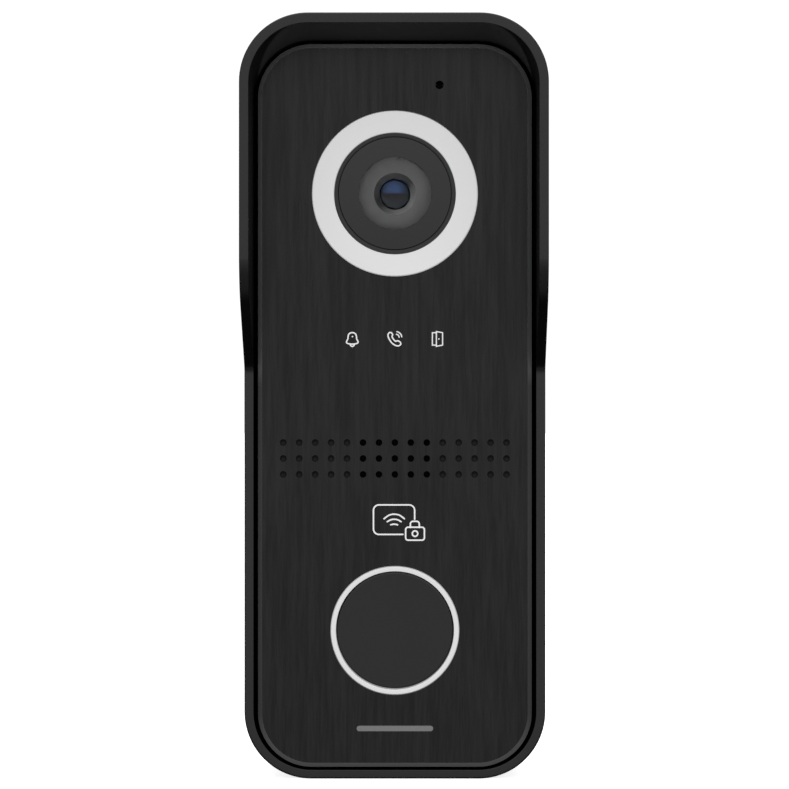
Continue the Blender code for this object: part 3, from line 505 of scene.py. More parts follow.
def lining_painted_lit_ceiling(name):
    """The frame coat on the inner walls: satin, with painted light that makes the hood's ceiling lighter than
    its sides.

    The painted lit part starts higher up near the hood's front edge than it does near the plate.
    """
    n = Nodes(name)
    wide = n.noise(60.0, 5.0, 0.6)
    close = n.noise(2400.0, 3.0, 0.55)
    place = n.position()
    # Painted light: above a level that slants with depth the lining takes a lighter grey, as a lit ceiling
    # over shaded sides.
    lit_slant = n.node("ShaderNodeMath", operation="MULTIPLY_ADD")
    n.link(place["Y"], lit_slant.inputs[0])
    lit_slant.inputs[1].default_value = 0.425
    n.link(place["Z"], lit_slant.inputs[2])
    painted_lit_part = n.spread(lit_slant.outputs[0], 0.0, 1.0, 0.0600, 0.0609)
    mix = n.node("ShaderNodeMix", data_type="RGBA")
    n.link(painted_lit_part, mix.inputs["Factor"])
    n.link(n.colours(wide, grey(0.0028), grey(0.0034)), mix.inputs["A"])
    n.link(n.colours(wide, grey(0.078), grey(0.084)), mix.inputs["B"])
    n.base(mix.outputs["Result"])
    n.rough(close, 0.36, 0.44)
    n.bump(close, 0.25, 0.000004)
    n.fixed(Specular_IOR_Level=0.08)
    return n.mat


def edge_cut(name):
    """The slanted edge band of the plate, with painted light: dim along its lower sides, lighter along the
    bottom, lighter under the hood to make up for the hood's shade, and brightest at the top.
    """
    n = Nodes(name)
    made = n.node("ShaderNodeValToRGB")
    ramp = made.color_ramp
    # Painted light: the band's brightness by height.
    painted_light_stops = ((0.0, 0.115), (0.03, 0.105), (0.07, 0.042), (0.52, 0.044),
             (0.56, 0.125), (0.89, 0.150), (0.99, 0.205))
    ramp.elements[1].position = painted_light_stops[-1][0]
    ramp.elements[0].color = (*grey(painted_light_stops[0][1]), 1.0)
    ramp.elements[1].color = (*grey(painted_light_stops[-1][1]), 1.0)
    for position, level in painted_light_stops[1:-1]:
        ramp.elements.new(position).color = (*grey(level), 1.0)
    n.link(n.spread(n.position()["Z"], 0.0, 1.0, -0.080, 0.080), made.inputs["Fac"])
    n.base(made.outputs["Color"])
    fine = n.noise(3200.0, 3.0, 0.5)
    n.rough(fine, 0.42, 0.56)
    n.bump(fine, 0.1, 0.00001)
    n.fixed(Specular_IOR_Level=0.25)
    return n.mat


def printed_glass_painted_light(name):
    """Glass with black print on its back: a smooth front over near black, made lighter towards the top by
    painted light.
    """
    n = Nodes(name)
    # Painted light: the print's colour grows lighter towards the top.
    rise = n.spread(n.position()["Z"], 0.0, 1.0, (CAMERA_Z - 12) * MM, (CAMERA_Z + 12) * MM)
    n.base(n.colours(rise, grey(0.0006), grey(0.0120), 0.0, 1.0))
    n.rough(n.noise(700.0, 3.0, 0.5), 0.05, 0.09)
    n.fixed(Specular_IOR_Level=0.45)
    return n.mat


def cone_painted_glint(name):
    """Dark cone round the small lens, with a painted glint: a bright crescent on its lower right."""
    n = Nodes(name)
    from_middle = n.node("ShaderNodeVectorMath", operation="SUBTRACT")
    n.link(n.place, from_middle.inputs[0])
    from_middle.inputs[1].default_value = point(0, 23.4, CAMERA_Z)
    straight = n.node("ShaderNodeVectorMath", operation="NORMALIZE")
    n.link(from_middle.outputs[0], straight.inputs[0])
    # Painted glint: the faces towards the lower right are lighter.
    glint_facing = n.node("ShaderNodeVectorMath", operation="DOT_PRODUCT")
    n.link(straight.outputs[0], glint_facing.inputs[0])
    glint_facing.inputs[1].default_value = (0.62, 0.0, -0.78)
    painted_glint = n.colours(glint_facing.outputs["Value"], grey(0.030), grey(0.200), 0.0, 0.95)
    n.base(painted_glint)
    n.rough(n.noise(3000.0, 3.0, 0.5), 0.26, 0.36)
    n.fixed(Specular_IOR_Level=0.5)
    return n.mat


def plated(name, low, high, rough):
    """Bare or plated metal with faint cloudy changes."""
    n = Nodes(name)
    n.base(n.colours(n.noise(260.0, 5.0, 0.6), low, high))
    fine = n.noise(3000.0, 3.0, 0.5)
    n.rough(fine, rough - 0.05, rough + 0.09)
    n.bump(fine, 0.15, 0.00001)
    n.fixed(Metallic=1.0)
    return n.mat


def circuit_board(name):
    """Green solder mask over thin straight tracks."""
    n = Nodes(name)
    cells = n.node("ShaderNodeTexBrick")
    cells.inputs["Scale"].default_value = 260.0
    cells.inputs["Mortar Size"].default_value = 0.06
    cells.inputs["Color1"].default_value = (0.010, 0.085, 0.032, 1)
    cells.inputs["Color2"].default_value = (0.013, 0.105, 0.040, 1)
    cells.inputs["Mortar"].default_value = (0.030, 0.19, 0.075, 1)
    place = n.position()
    joined = n.node("ShaderNodeCombineXYZ")
    n.link(place["X"], joined.inputs["X"])
    n.link(place["Z"], joined.inputs["Y"])
    n.link(joined.outputs[0], cells.inputs["Vector"])
    n.base(cells.outputs["Color"])
    fine = n.noise(1400.0, 3.0, 0.5)
    n.rough(fine, 0.28, 0.42)
    n.bump(cells.outputs["Fac"], 0.3, 0.00003)
    return n.mat


def light_white(name, level, glow):
    """Milky plastic, faintly uneven, with a soft glow of its own."""
    n = Nodes(name)
    low = (level * 0.985, level * 0.985, level * 0.985)
    high = (level, level, level * 0.998)
    n.base(n.colours(n.noise(220.0, 4.0, 0.55), low, high))
    fine = n.noise(2400.0, 3.0, 0.5)
    n.rough(fine, 0.42, 0.52)
    n.bump(fine, 0.12, 0.00001)
    n.fixed(Specular_IOR_Level=0.3, Emission_Color=(1, 1, 1, 1), Emission_Strength=glow)
    return n.mat


def clear(name, colour, rough, ior=1.49):
    """Glass or clear plastic."""
    n = Nodes(name)
    fine = n.noise(900.0, 3.0, 0.5)
    n.rough(fine, rough, rough + 0.01)
    n.fixed(Base_Color=(*colour, 1.0), Transmission_Weight=1.0, IOR=ior)
    return n.mat


def lens_painted_reflection(name):
    """The small lens: a painted reflection, blue over its upper part and near black below a line just above
    its middle, with painted shade round its edge.
    """
    n = Nodes(name)
    # Painted reflection: blue above a line just over the lens's middle, near black below it.
    height = n.spread(n.position()["Z"], 0.0, 1.0, (CAMERA_Z - 0.05) * MM, (CAMERA_Z + 0.55) * MM)
    soft = n.noise(700.0, 2.0, 0.5)
    painted_reflection_blue = n.colours(soft, (0.019, 0.038, 0.098), (0.027, 0.052, 0.122))
    below_reflection_dark = n.colours(soft, (0.0070, 0.0040, 0.0066), (0.0105, 0.0066, 0.0086))
    mix = n.node("ShaderNodeMix", data_type="RGBA")
    n.link(height, mix.inputs["Factor"])
    n.link(below_reflection_dark, mix.inputs["A"])
    n.link(painted_reflection_blue, mix.inputs["B"])
    # Painted shade: darker towards the lens's edge, measured from a point above its middle.
    from_middle = n.node("ShaderNodeVectorMath", operation="DISTANCE")
    n.link(n.place, from_middle.inputs[0])
    from_middle.inputs[1].default_value = point(-0.2, 22.8, CAMERA_Z + 0.9)
    painted_rim_shade = n.spread(from_middle.outputs["Value"], 0.0, 1.0, 1.1 * MM, 3.1 * MM)
    painted_rim_shaded = n.node("ShaderNodeMix", data_type="RGBA")
    n.link(painted_rim_shade, painted_rim_shaded.inputs["Factor"])
    n.link(mix.outputs["Result"], painted_rim_shaded.inputs["A"])
    painted_rim_shaded.inputs["B"].default_value = (0.0080, 0.0115, 0.0150, 1.0)
    n.base(painted_rim_shaded.outputs["Result"])
    n.rough(soft, 0.06, 0.10)
    n.fixed(Specular_IOR_Level=0.16)
    return n.mat


FRAME_PAINT = coated("frame_coat", grey(0.0026), grey(0.0036), 0.27, 2400.0, 0.00003, 0.44)
FRAME_INNER_PAINTED_LIGHT = lining_painted_lit_ceiling("lining_painted_lit_ceiling")
PLATE_METAL = brushed("plate_brushing", grey(0.0205), grey(0.0305), 0.24)
PLATE_EDGE_PAINTED_LIGHT = edge_cut("plate_edge_painted_light")
WINDOW_PRINT = coated("window_print", grey(0.0030), grey(0.0040), 0.5, 2600.0, 0.00001, 0.1, 0.1)
PRINTED_GLASS_PAINTED_LIGHT = printed_glass_painted_light("printed_glass_painted_light")
SURROUND = coated("surround_satin", grey(0.033), grey(0.037), 0.42, 3000.0, 0.00001, 0.3, 0.1)
# Painted shade: a darker matt finish for the blind dimples in place of the plate's metal.
DIMPLE = coated("dimple_painted_shade", grey(0.0090), grey(0.0115), 0.60, 3000.0, 0.00001, 0.15, 0.1)
HOUSING = coated("housing_black", grey(0.0100), grey(0.0140), 0.55, 1600.0, 0.00004, 0.35)
BUTTON = coated("button_matt", grey(0.0102), grey(0.0120), 0.50, 3000.0, 0.00002, 0.40)
WHITE = light_white("diffuser_white", 0.65, 0.315)
PRINT = light_white("symbol_white", 0.72, 0.30)
RING_WHITE = light_white("button_ring_white", 0.59, 0.29)
MARK = coated("mark_grey", grey(0.21), grey(0.23), 0.45, 3000.0, 0.00001, 0.3, 0.1)
RUBBER = coated("seal_rubber", grey(0.0100), grey(0.0150), 0.82, 1300.0, 0.00005, 0.25)
SILICONE = coated("grey_silicone", grey(0.30), grey(0.36), 0.55, 1500.0, 0.00003, 0.35)
CLOTH = coated("acoustic_cloth", grey(0.0050), grey(0.0080), 0.9, 5200.0, 0.00006, 0.1, 0.6)
CONE = coated("pressed_paper", grey(0.020), grey(0.032), 0.85, 1800.0, 0.00005, 0.2)
CHIP = coated("chip_moulding", grey(0.014), grey(0.019), 0.6, 2200.0, 0.00003, 0.3)
FILM = coated("ribbon_film", grey(0.55), grey(0.62), 0.4, 900.0, 0.00002, 0.4)
TERMINAL = coated("terminal_green", (0.020, 0.21, 0.065), (0.028, 0.26, 0.085), 0.45, 1500.0, 0.00003, 0.4)
RELAY = coated("relay_blue", (0.020, 0.075, 0.29), (0.028, 0.10, 0.36), 0.38, 1500.0, 0.00002, 0.4)
BARREL = coated("lens_metal", grey(0.072), grey(0.082), 0.55, 3000.0, 0.00001, 0.2, 0.12)
BARREL_CONE_PAINTED_GLINT = cone_painted_glint("cone_painted_glint")
STEEL = plated("plated_steel", (0.48, 0.48, 0.47), (0.60, 0.60, 0.59), 0.28)
STAINLESS = plated("turned_stainless", (0.50, 0.49, 0.47), (0.62, 0.61, 0.59), 0.24)
BRASS = plated("turned_brass", (0.60, 0.42, 0.16), (0.74, 0.54, 0.24), 0.28)
COPPER = brushed("copper_track", (0.50, 0.22, 0.10), (0.72, 0.36, 0.18), 0.34, "x", streak=1500.0)
BOARD = circuit_board("solder_mask")
GLASS = clear("window_glass", (1.0, 1.0, 1.0), 0.0, 1.04)
GUIDE = clear("light_guide", (0.95, 0.97, 0.98), 0.12)
# The small lens, with its painted reflection and painted rim shade.
LENS = lens_painted_reflection("lens_painted_reflection")


# ---------------------------------------------------------------- wall frame and hood


def lip_depth(z):
    """How far the frame's front edge stands from the wall, at a height on its side."""
    slope = math.atan2(HOOD - RIM, SLOPE_TOP - SLOPE_FOOT)
    reach = math.tan(slope / 2)
    top_end, foot_start = SLOPE_TOP + TOP_FILLET * reach, SLOPE_FOOT - FOOT_FILLET * reach
    if z >= top_end:
        return HOOD
    if z <= foot_start:
        return RIM
    top_tangent = SLOPE_TOP - TOP_FILLET * reach * math.cos(slope)
    foot_tangent = SLOPE_FOOT + FOOT_FILLET * reach * math.cos(slope)
    if z > top_tangent:
        return HOOD - TOP_FILLET + math.sqrt(max(0.0, TOP_FILLET ** 2 - (top_end - z) ** 2))
    if z < foot_tangent:
        return RIM + FOOT_FILLET - math.sqrt(max(0.0, FOOT_FILLET ** 2 - (z - foot_start) ** 2))
    return RIM + (z - SLOPE_FOOT) * math.tan(slope)


def pocket_outline(top_wall, inset, steps, levels):
    """Inside of the walls under a top wall of the given thickness, drawn in by inset."""
    half = BODY_W / 2 - SIDE_WALL - inset
    low = (-half, -BODY_H / 2 + BOTTOM_WALL + inset)
    high = (half, BODY_H / 2 - top_wall - inset)
    return rounded_box(low, high, BODY_R - SIDE_WALL - inset, steps, levels)


def quarter_turn(steps):
    """The sine and cosine at even steps over a quarter turn."""
    turns = [math.pi / 2 * k / steps for k in range(steps + 1)]
    return [(math.sin(turn), math.cos(turn)) for turn in turns]


def part_way(start, end, part):
    """The spot part millimetres from start towards end."""
    start, end = Vector(start), Vector(end)
    way = (end - start).normalized() * part
    return start.x + way.x, start.y + way.y


def frame_rings():
    """Rings of the frame: its rounded back, the outside, round the lip and down to the floor."""
    levels = [-60.0, -30.0, 0.0, 4.0] + [5.0 + 0.5 * i for i in range(52)] + [34.0, 45.0, 58.0]
    steps = 24
    outer = body_outline(0.0, steps, levels)
    lips = [lip_depth(z) if abs(x) > BODY_W / 2 - 0.01 else (HOOD if z > 0 else RIM) for x, z in outer]
    at_hood = pocket_outline(TOP_AT_HOOD, 0.0, steps, levels)
    at_rim = pocket_outline(TOP_AT_RIM, 0.0, steps, levels)

    def inner(i, depth):
        share = max(0.0, min(1.0, (depth - RIM) / (HOOD - RIM)))
        return tuple(a + (b - a) * share for a, b in zip(at_rim[i], at_hood[i]))

    rings = [at_depth(body_outline(BACK_ROUND, steps, levels), 0.0)]
    for sine, cosine in quarter_turn(3)[1:]:
        outline = body_outline(BACK_ROUND * (1 - sine), steps, levels)
        rings.append(at_depth(outline, BACK_ROUND * (1 - cosine)))
    rings.append(at_depth(outer, OUTER_MIDDLE))
    rings.append([point(x, lip - LIP_BAND, z) for (x, z), lip in zip(outer, lips)])
    for sine, cosine in quarter_turn(4):
        ring = []
        for i, lip in enumerate(lips):
            x, z = part_way(outer[i], inner(i, lip), OUTER_ROUND * (1 - cosine))
            ring.append(point(x, lip - OUTER_ROUND * (1 - sine), z))
        rings.append(ring)
    for sine, cosine in quarter_turn(4):
        ring = []
        for i, lip in enumerate(lips):
            x, z = part_way(inner(i, lip), outer[i], INNER_ROUND * (1 - sine))
            ring.append(point(x, lip - INNER_ROUND * (1 - cosine), z))
        rings.append(ring)
    inside = ([lip - LIP_BAND for lip in lips], [min(lip - LIP_BAND - 0.1, RIM - 0.5) for lip in lips],
              [INNER_MIDDLE] * len(lips), [FLOOR + FLOOR_ROUND] * len(lips))
    for depths in inside:
        ring = []
        for i, depth in enumerate(depths):
            x, z = inner(i, depth)
            ring.append(point(x, depth, z))
        rings.append(ring)
    for sine, cosine in quarter_turn(3)[1:]:
        depth = FLOOR + FLOOR_ROUND * (1 - sine)
        inset = FLOOR_ROUND * (1 - cosine)
        rings.append(at_depth(pocket_outline(TOP_AT_RIM, inset, steps, levels), depth))
    return rings


def cable_way(work):
    half = (CABLE_W / 2, CABLE_H / 2)
    low, high = (-half[0], CABLE_Z - half[1]), (half[0], CABLE_Z + half[1])
    slab_into(work, [rounded_box(low, high, CABLE_CORNER, 10)], FLOOR + 1.0, -1.0)


def wall_holes(work):
    for spot in WALL_SCREWS:
        lathe_into(work, WALL_SCREW_PROFILE, spot, 40, False)
    tamper = [(0, FLOOR + 1.0), (TAMPER_HOLE, FLOOR + 1.0), (TAMPER_HOLE, -1.0), (0, -1.0)]
    lathe_into(work, tamper, TAMPER_SPOT, 40, False)


def seal_groove(work):
    edges = [body_outline(SEAL_GROOVE_OUTER), body_outline(SEAL_GROOVE_INNER)]
    slab_into(work, edges, SEAL_GROOVE_DEPTH, -1.0)


def bottom_holes(work):
    """The two drain slots and the sink of the locking screw, upright through the bottom wall."""
    low = -BODY_H / 2
    for x in (-DRAIN_X, DRAIN_X):
        middle = [(x + step, DRAIN_DEPTH) for step in (-DRAIN_HALF, 0.0, DRAIN_HALF)]
        slot_line = stroke(middle, DRAIN_WIDTH)[0]
        rings = [[point(a, b, height) for a, b in slot_line] for height in (low - 1, low + 3)]
        add_rings(work, rings, True, True)
    rings = []
    for rise, radius in LOCK_SINK:
        rings.append([point(a, LOCK_SCREW_DEPTH + b, low + rise) for a, b in circle(radius, steps=40)])
    add_rings(work, rings, True, True)


def make_frame():
    work = bmesh.new()
    add_rings(work, frame_rings(), close_first=True, close_last=True)
    frame_piece = finish_piece(work, "wall_frame", FRAME_PAINT, "doorbell", ["hood_frame"])
    apply_cuts(frame_piece, [cutter("cable_way", cable_way), cutter("wall_holes", wall_holes),
                             cutter("groove", seal_groove), cutter("bottom_holes", bottom_holes)])
    # The inward walls take the lining whose lighter ceiling is painted light.
    frame_piece.data.materials.append(FRAME_INNER_PAINTED_LIGHT)
    for face in frame_piece.data.polygons:
        x, y, z = face.center
        inward = face.normal.x * x + face.normal.z * z < 0
        if inward and abs(face.normal.y) < 0.3 and -y > (FLOOR + 0.5) * MM:
            face.material_index = 1

    work = bmesh.new()
    for x in (-HOOK_X, HOOK_X):
        ends = (x - HOOK_HALF, x + HOOK_HALF)
        add_rings(work, [[point(end, depth, z) for depth, z in HOOK_PROFILE] for end in ends], True, True)
    bmesh.ops.recalc_face_normals(work, faces=work.faces[:])
    bmesh.ops.bevel(work, geom=work.edges[:], offset=HOOK_ROUND * MM, segments=2, affect="EDGES")
    finish_piece(work, "frame_hooks", FRAME_PAINT, "doorbell")


# ---------------------------------------------------------------- front plate


def grille(open_holes):
    """Centres of the speaker's holes in the middle columns, or of the blind dimples beside them."""
    spots = []
    for column in range(-BLIND_COLUMNS, BLIND_COLUMNS + 1):
        if (abs(column) <= OPEN_COLUMNS) == open_holes:
            spots += [(column * GRILLE_PITCH, GRILLE_Z + row * GRILLE_PITCH) for row in (-1, 0, 1)]
    return spots


def hole_into(work, radius, spot, steps, bottom=PLATE_BACK - 1.0, edge=0.08):
    """A cutter for a round hole with a broken edge, down to the bottom depth."""
    top, mouth = RIM + 1.0, radius + edge + 0.001
    profile = [(0, top), (mouth, top), (mouth, RIM), (radius, RIM - edge), (radius, bottom), (0, bottom)]
    lathe_into(work, profile, spot, steps, False)


def big_holes(work):
    hole_into(work, CAMERA_HOLE, (0, CAMERA_Z), 160)
    hole_into(work, BUTTON_HOLE, (0, BUTTON_Z), 160)
    hole_into(work, MICROPHONE_HOLE, MICROPHONE_SPOT, 32)


def small_holes(work):
    for spot in grille(True):
        hole_into(work, SOUND_HOLE, spot, 28, edge=0.04)
    for spot in grille(False):
        hole_into(work, SOUND_HOLE, spot, 28, RIM - DIMPLE_DEPTH, 0.04)


def light_pockets(work):
    half = LIGHT_POCKET_HALF
    for x in (-STATUS_PITCH, 0.0, STATUS_PITCH):
        box = rounded_box((x - half, STATUS_Z - half), (x + half, STATUS_Z + half), 0.4, 3)
        slab_into(work, [box], RIM - LIGHT_POCKET_FRONT, PLATE_BACK - 1.0)


def in_dimple(face, dimples):
    x, z, depth = face.center.x / MM, face.center.z / MM, -face.center.y / MM
    sunk = RIM - 0.5 < depth < RIM - 0.01
    return sunk and any(math.hypot(x - a, z - b) < SOUND_HOLE + 0.02 for a, b in dimples)


def on_edge_cut(face):
    """Whether a face is part of the slanted band round the plate."""
    across, up = abs(face.center.x / MM), abs(face.center.z / MM - PLATE_Z)
    near_side = across > PLATE_W / 2 - EDGE_BAND or up > PLATE_H / 2 - EDGE_BAND
    past = (max(0, across - (PLATE_W / 2 - PLATE_R)), max(0, up - (PLATE_H / 2 - PLATE_R)))
    return 0.25 < -face.normal.y < 0.95 and (near_side or math.hypot(*past) > PLATE_R - EDGE_BAND)


def make_plate():
    work = bmesh.new()
    levels = [(0.95, RIM), (0.86, RIM - 0.03), (0.80, RIM - 0.08), (0.08, RIM - 0.52), (0.02, RIM - 0.58),
              (0.0, RIM - 0.68), (0.0, PLATE_BACK + 0.15), (0.15, PLATE_BACK)]
    add_rings(work, [at_depth(plate_outline(inset, 24), depth) for inset, depth in levels], True, True)
    plate = finish_piece(work, "panel_face", PLATE_METAL, "doorbell", ["front_plate"])
    apply_cuts(plate, [cutter("big_holes", big_holes), cutter("small_holes", small_holes),
                       cutter("light_pockets", light_pockets)])
    plate.data.materials.append(PLATE_EDGE_PAINTED_LIGHT)
    plate.data.materials.append(DIMPLE)
    dimples = grille(False)
    for face in plate.data.polygons:
        # Painted shade: the blind dimples take the darker matt finish.
        if in_dimple(face, dimples):
            face.material_index = 2
        # The slanted band gets the finish with painted light.
        elif on_edge_cut(face):
            face.material_index = 1

    work = bmesh.new()
    for spot in PLATE_STUDS:
        lathe_into(work, STUD_PROFILE, spot, 32)
    finish_piece(work, "plate_studs", HOUSING, "doorbell")


# ---------------------------------------------------------------- printed and lit symbols


def moved(path, by):
    return [(x + by[0], z + by[1]) for x, z in path]


def mirrored(half):
    return half + [(-x, z) for x, z in reversed(half) if abs(x) > AXIS_LIMIT]


def symbol(name, outlines, mat=PRINT):
    """A thin inlay in the plate's front, of outlines with their holes."""
    work = bmesh.new()
    for group in outlines:
        slab_into(work, group, RIM + SYMBOL_PROUD, RIM - SYMBOL_SUNK)
    finish_piece(work, name, mat, "doorbell", sharp=25)


def make_bell(spot):
    half = [(0.0, 1.38), (0.44, 1.29), (0.78, 0.99), (0.92, 0.53), (0.95, 0.08), (1.09, -0.27),
            (1.27, -0.60), (1.16, -0.92), (0.66, -1.08), (0.0, -1.14)]
    bell = moved(smooth_path(mirrored(half), True, 5), spot)
    below = [(-0.46, -1.22), (-0.29, -1.52), (0.0, -1.64), (0.29, -1.52), (0.46, -1.22)]
    clapper = moved(smooth_path(below, False, 5), spot)
    dot = moved(circle(0.17, (0.05, 0.52), 20), spot)
    symbol("symbol_bell", [stroke(bell, ICON_LINE, True), stroke(clapper, ICON_LINE), [dot]])


def make_handset(spot):
    corners = [(-1.26, 1.36), (-0.82, 1.38), (-0.50, 0.96), (-0.62, 0.50), (-0.30, -0.08), (0.18, -0.52),
               (0.62, -0.40), (1.18, -0.72), (1.28, -1.16), (0.93, -1.48), (0.30, -1.48), (-0.55, -0.98),
               (-1.22, -0.10), (-1.52, 0.80)]
    groups = [stroke(moved(smooth_path(corners, True, 4), spot), ICON_LINE, True)]
    for radius in (0.76, 1.34):
        ring_tone = smooth_path(arc((0.18, 0.28), radius, 78, 8, 6), False, 3)
        groups.append(stroke(moved(ring_tone, spot), ICON_LINE * 0.9))
    symbol("symbol_handset", groups)


def make_door(spot):
    leaf = moved([(-0.24, 1.62), (1.12, 1.36), (1.12, -1.36), (-0.24, -1.62)], spot)
    jamb = moved([(-0.34, 1.36), (-1.12, 1.36), (-1.12, -1.36), (-0.34, -1.36)], spot)
    knob = moved(circle(0.16, (0.30, 0.0), 18), spot)
    symbol("symbol_door", [stroke(leaf, DOOR_LINE, True), stroke(jamb, DOOR_LINE), [knob]])


def make_reader():
    """A card with three radio arcs, open at its lower right where a padlock stands."""
    left, right, top, bottom, corner = -4.70, 4.34, -22.78, -29.26, 1.2
    card = [(right, -25.95), (right, top - corner)]
    card += arc((right - corner, top - corner), corner, 0, 90, 8)[1:]
    card += arc((left + corner, top - corner), corner, 90, 180, 8)
    card += arc((left + corner, bottom + corner), corner, 180, 270, 8)
    card += [(1.75, bottom)]
    lock_box = rounded_box((2.36, -30.52), (6.48, -27.68), 0.55, 6)
    shackle = [(3.40, -27.72), (3.40, -26.98)] + arc((4.00, -26.98), 0.6, 180, 90, 6)[1:]
    shackle += arc((4.76, -26.98), 0.6, 90, 0, 6) + [(5.36, -27.72)]
    keyhole = circle(0.60, (4.42, -29.08), 28)
    groups = [stroke(card, READER_LINE), stroke(lock_box, READER_LINE, True), stroke(shackle, READER_LINE),
              stroke(keyhole, READER_LINE, True)]
    for corners in ([(-2.38, -25.82), (-1.33, -25.06), (-0.15, -24.82), (1.03, -25.06), (2.08, -25.82)],
                    [(-1.66, -26.46), (-0.93, -26.06), (-0.15, -25.93), (0.63, -26.06), (1.36, -26.46)],
                    [(-0.90, -27.14), (-0.15, -27.0), (0.60, -27.14)]):
        groups.append(stroke(smooth_path(corners, False, 4), READER_LINE))
    symbol("symbol_reader", groups)


def make_symbols():
    height = STATUS_Z + 0.1
    make_bell((-STATUS_PITCH, height))
    make_handset((0.0, height))
    make_door((STATUS_PITCH, height))
    make_reader()
    bar = rounded_box((-8.4, -72.45), (8.4, -71.25), 0.59, 8)
    symbol("plain_mark", [[bar]], MARK)


# ---------------------------------------------------------------- camera and microphone


def finish_by_radius(obj, mat, chosen):
    """Gives a second finish to the faces whose distance from the camera's axis is chosen."""
    obj.data.materials.append(mat)
    for face in obj.data.polygons:
        if chosen(math.hypot(face.center.x / MM, face.center.z / MM - CAMERA_Z)):
            face.material_index = 1


def make_camera():
    spot = (0.0, CAMERA_Z)
    ring = [(18.08, 26.0, 0.12), (18.08, 23.7, 0), (19.6, 23.7, 0), (19.6, 23.0, 0), (13.4, 23.0, 0),
            (13.4, 26.0, 0.12)]
    lathe("camera_light_ring", ring, spot, WHITE, "doorbell", ["light_ring"], 192)
    surround = [(13.30, 25.9, 0.06), (13.30, 22.8, 0), (13.9, 22.8, 0), (13.9, 21.9, 0), (11.2, 21.9, 0),
                (11.2, 24.4, 0), (12.45, 24.4, 0), (12.45, 25.75, 0), (12.52, 25.75, 0),
                (12.52, 25.9, 0.04)]
    lathe("camera_surround", surround, spot, SURROUND, "doorbell", ["camera_bezel"], 192)
    pane = [(0, 25.9, 0), (CLEAR_GLASS, 25.9, 0), (12.4, 25.9, 0.16), (12.4, 24.92, 0.1),
            (CLEAR_GLASS, 24.92, 0), (0, 24.92, 0)]
    glass = lathe("camera_glass", pane, spot, GLASS, "doorbell", ["camera_window"], 160,
                  ring=False)
    # The printed rim of the glass, with painted light making it lighter towards the top.
    finish_by_radius(glass, PRINTED_GLASS_PAINTED_LIGHT, lambda away: away > CLEAR_GLASS)
    mask = [(12.1, 24.88, 0), (12.1, 24.84, 0), (CLEAR_GLASS, 24.84, 0), (CLEAR_GLASS, 24.88, 0)]
    lathe("glass_print", mask, spot, WINDOW_PRINT, "doorbell", ["lens_mask"], 160)
    barrel = [(8.5, 24.1, 0.1), (8.5, 23.2, 0.1), (7.85, 23.2, 0), (7.85, 20.5, 0), (6.0, 20.3, 0),
              (6.0, 10.4, 0), (2.6, 10.4, 0), (2.6, 20.4, 0), (3.4, 20.4, 0), (3.4, 22.6, 0.1),
              (4.62, 24.1, 0.03)]
    body = lathe("lens_body", barrel, spot, BARREL, "doorbell", ["lens_barrel"], 128)
    # The cone round the lens takes the finish with the painted glint.
    finish_by_radius(body, BARREL_CONE_PAINTED_GLINT, lambda away: away < CONE_EDGE)
    crown = [(LENS_RADIUS * math.sin(a), 22.1 + 0.7 * math.cos(a), 0)
             for a in (math.radians(7.5 * i) for i in range(1, 13))]
    bead = [(0, 22.8, 0), *crown, (LENS_RADIUS, 20.6, 0), (0, 20.6, 0)]
    # The front lens takes the finish with the painted reflection and painted rim shade.
    lathe("front_lens", bead, spot, LENS, "doorbell", ["lens_glass"], 96, ring=False)


def make_microphone_felt():
    """Dark felt behind the microphone's hole."""
    felt = [(0, 23.6, 0), (0.82, 23.6, 0.05), (0.82, 22.65, 0), (0, 22.65, 0)]
    lathe("microphone_felt", felt, MICROPHONE_SPOT, CLOTH, "doorbell", steps=32,
          ring=False)


# ---------------------------------------------------------------- call button


def make_button():
    spot = (0.0, BUTTON_Z)
    ring = [(14.0, 26.0, 0.12), (14.0, 23.7, 0), (15.6, 23.7, 0), (15.6, 22.9, 0), (12.98, 22.9, 0),
            (12.98, 26.0, 0.12)]
    lathe("button_light_ring", ring, spot, RING_WHITE, "doorbell", ["button_ring"], 192)
    cap = [(0, 25.9, 0), (12.62, 25.98, 0.22), (12.62, 22.5, 0), (13.8, 22.5, 0), (13.8, 21.8, 0),
           (11.4, 21.8, 0), (11.4, 24.3, 0), (2.6, 24.3, 0), (2.6, 21.6, 0), (0, 21.6, 0)]
    lathe("button_face", cap, spot, BUTTON, "call_button", ["call_button"], 160,
          ring=False)
    membrane = [(0, 21.3, 0), (4.0, 21.3, 0.5), (9.4, 18.9, 0.4), (11.6, 18.7, 0.1), (11.6, 18.2, 0),
                (8.8, 18.2, 0.1), (3.6, 20.7, 0.3), (1.5, 20.7, 0), (1.5, 20.4, 0.05), (0, 20.4, 0)]
    dome = lathe("membrane_dome", membrane, spot, SILICONE, "doorbell", ["button_membrane"], 96,
                 ring=False)
    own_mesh(dome)


# ---------------------------------------------------------------- back of the frame


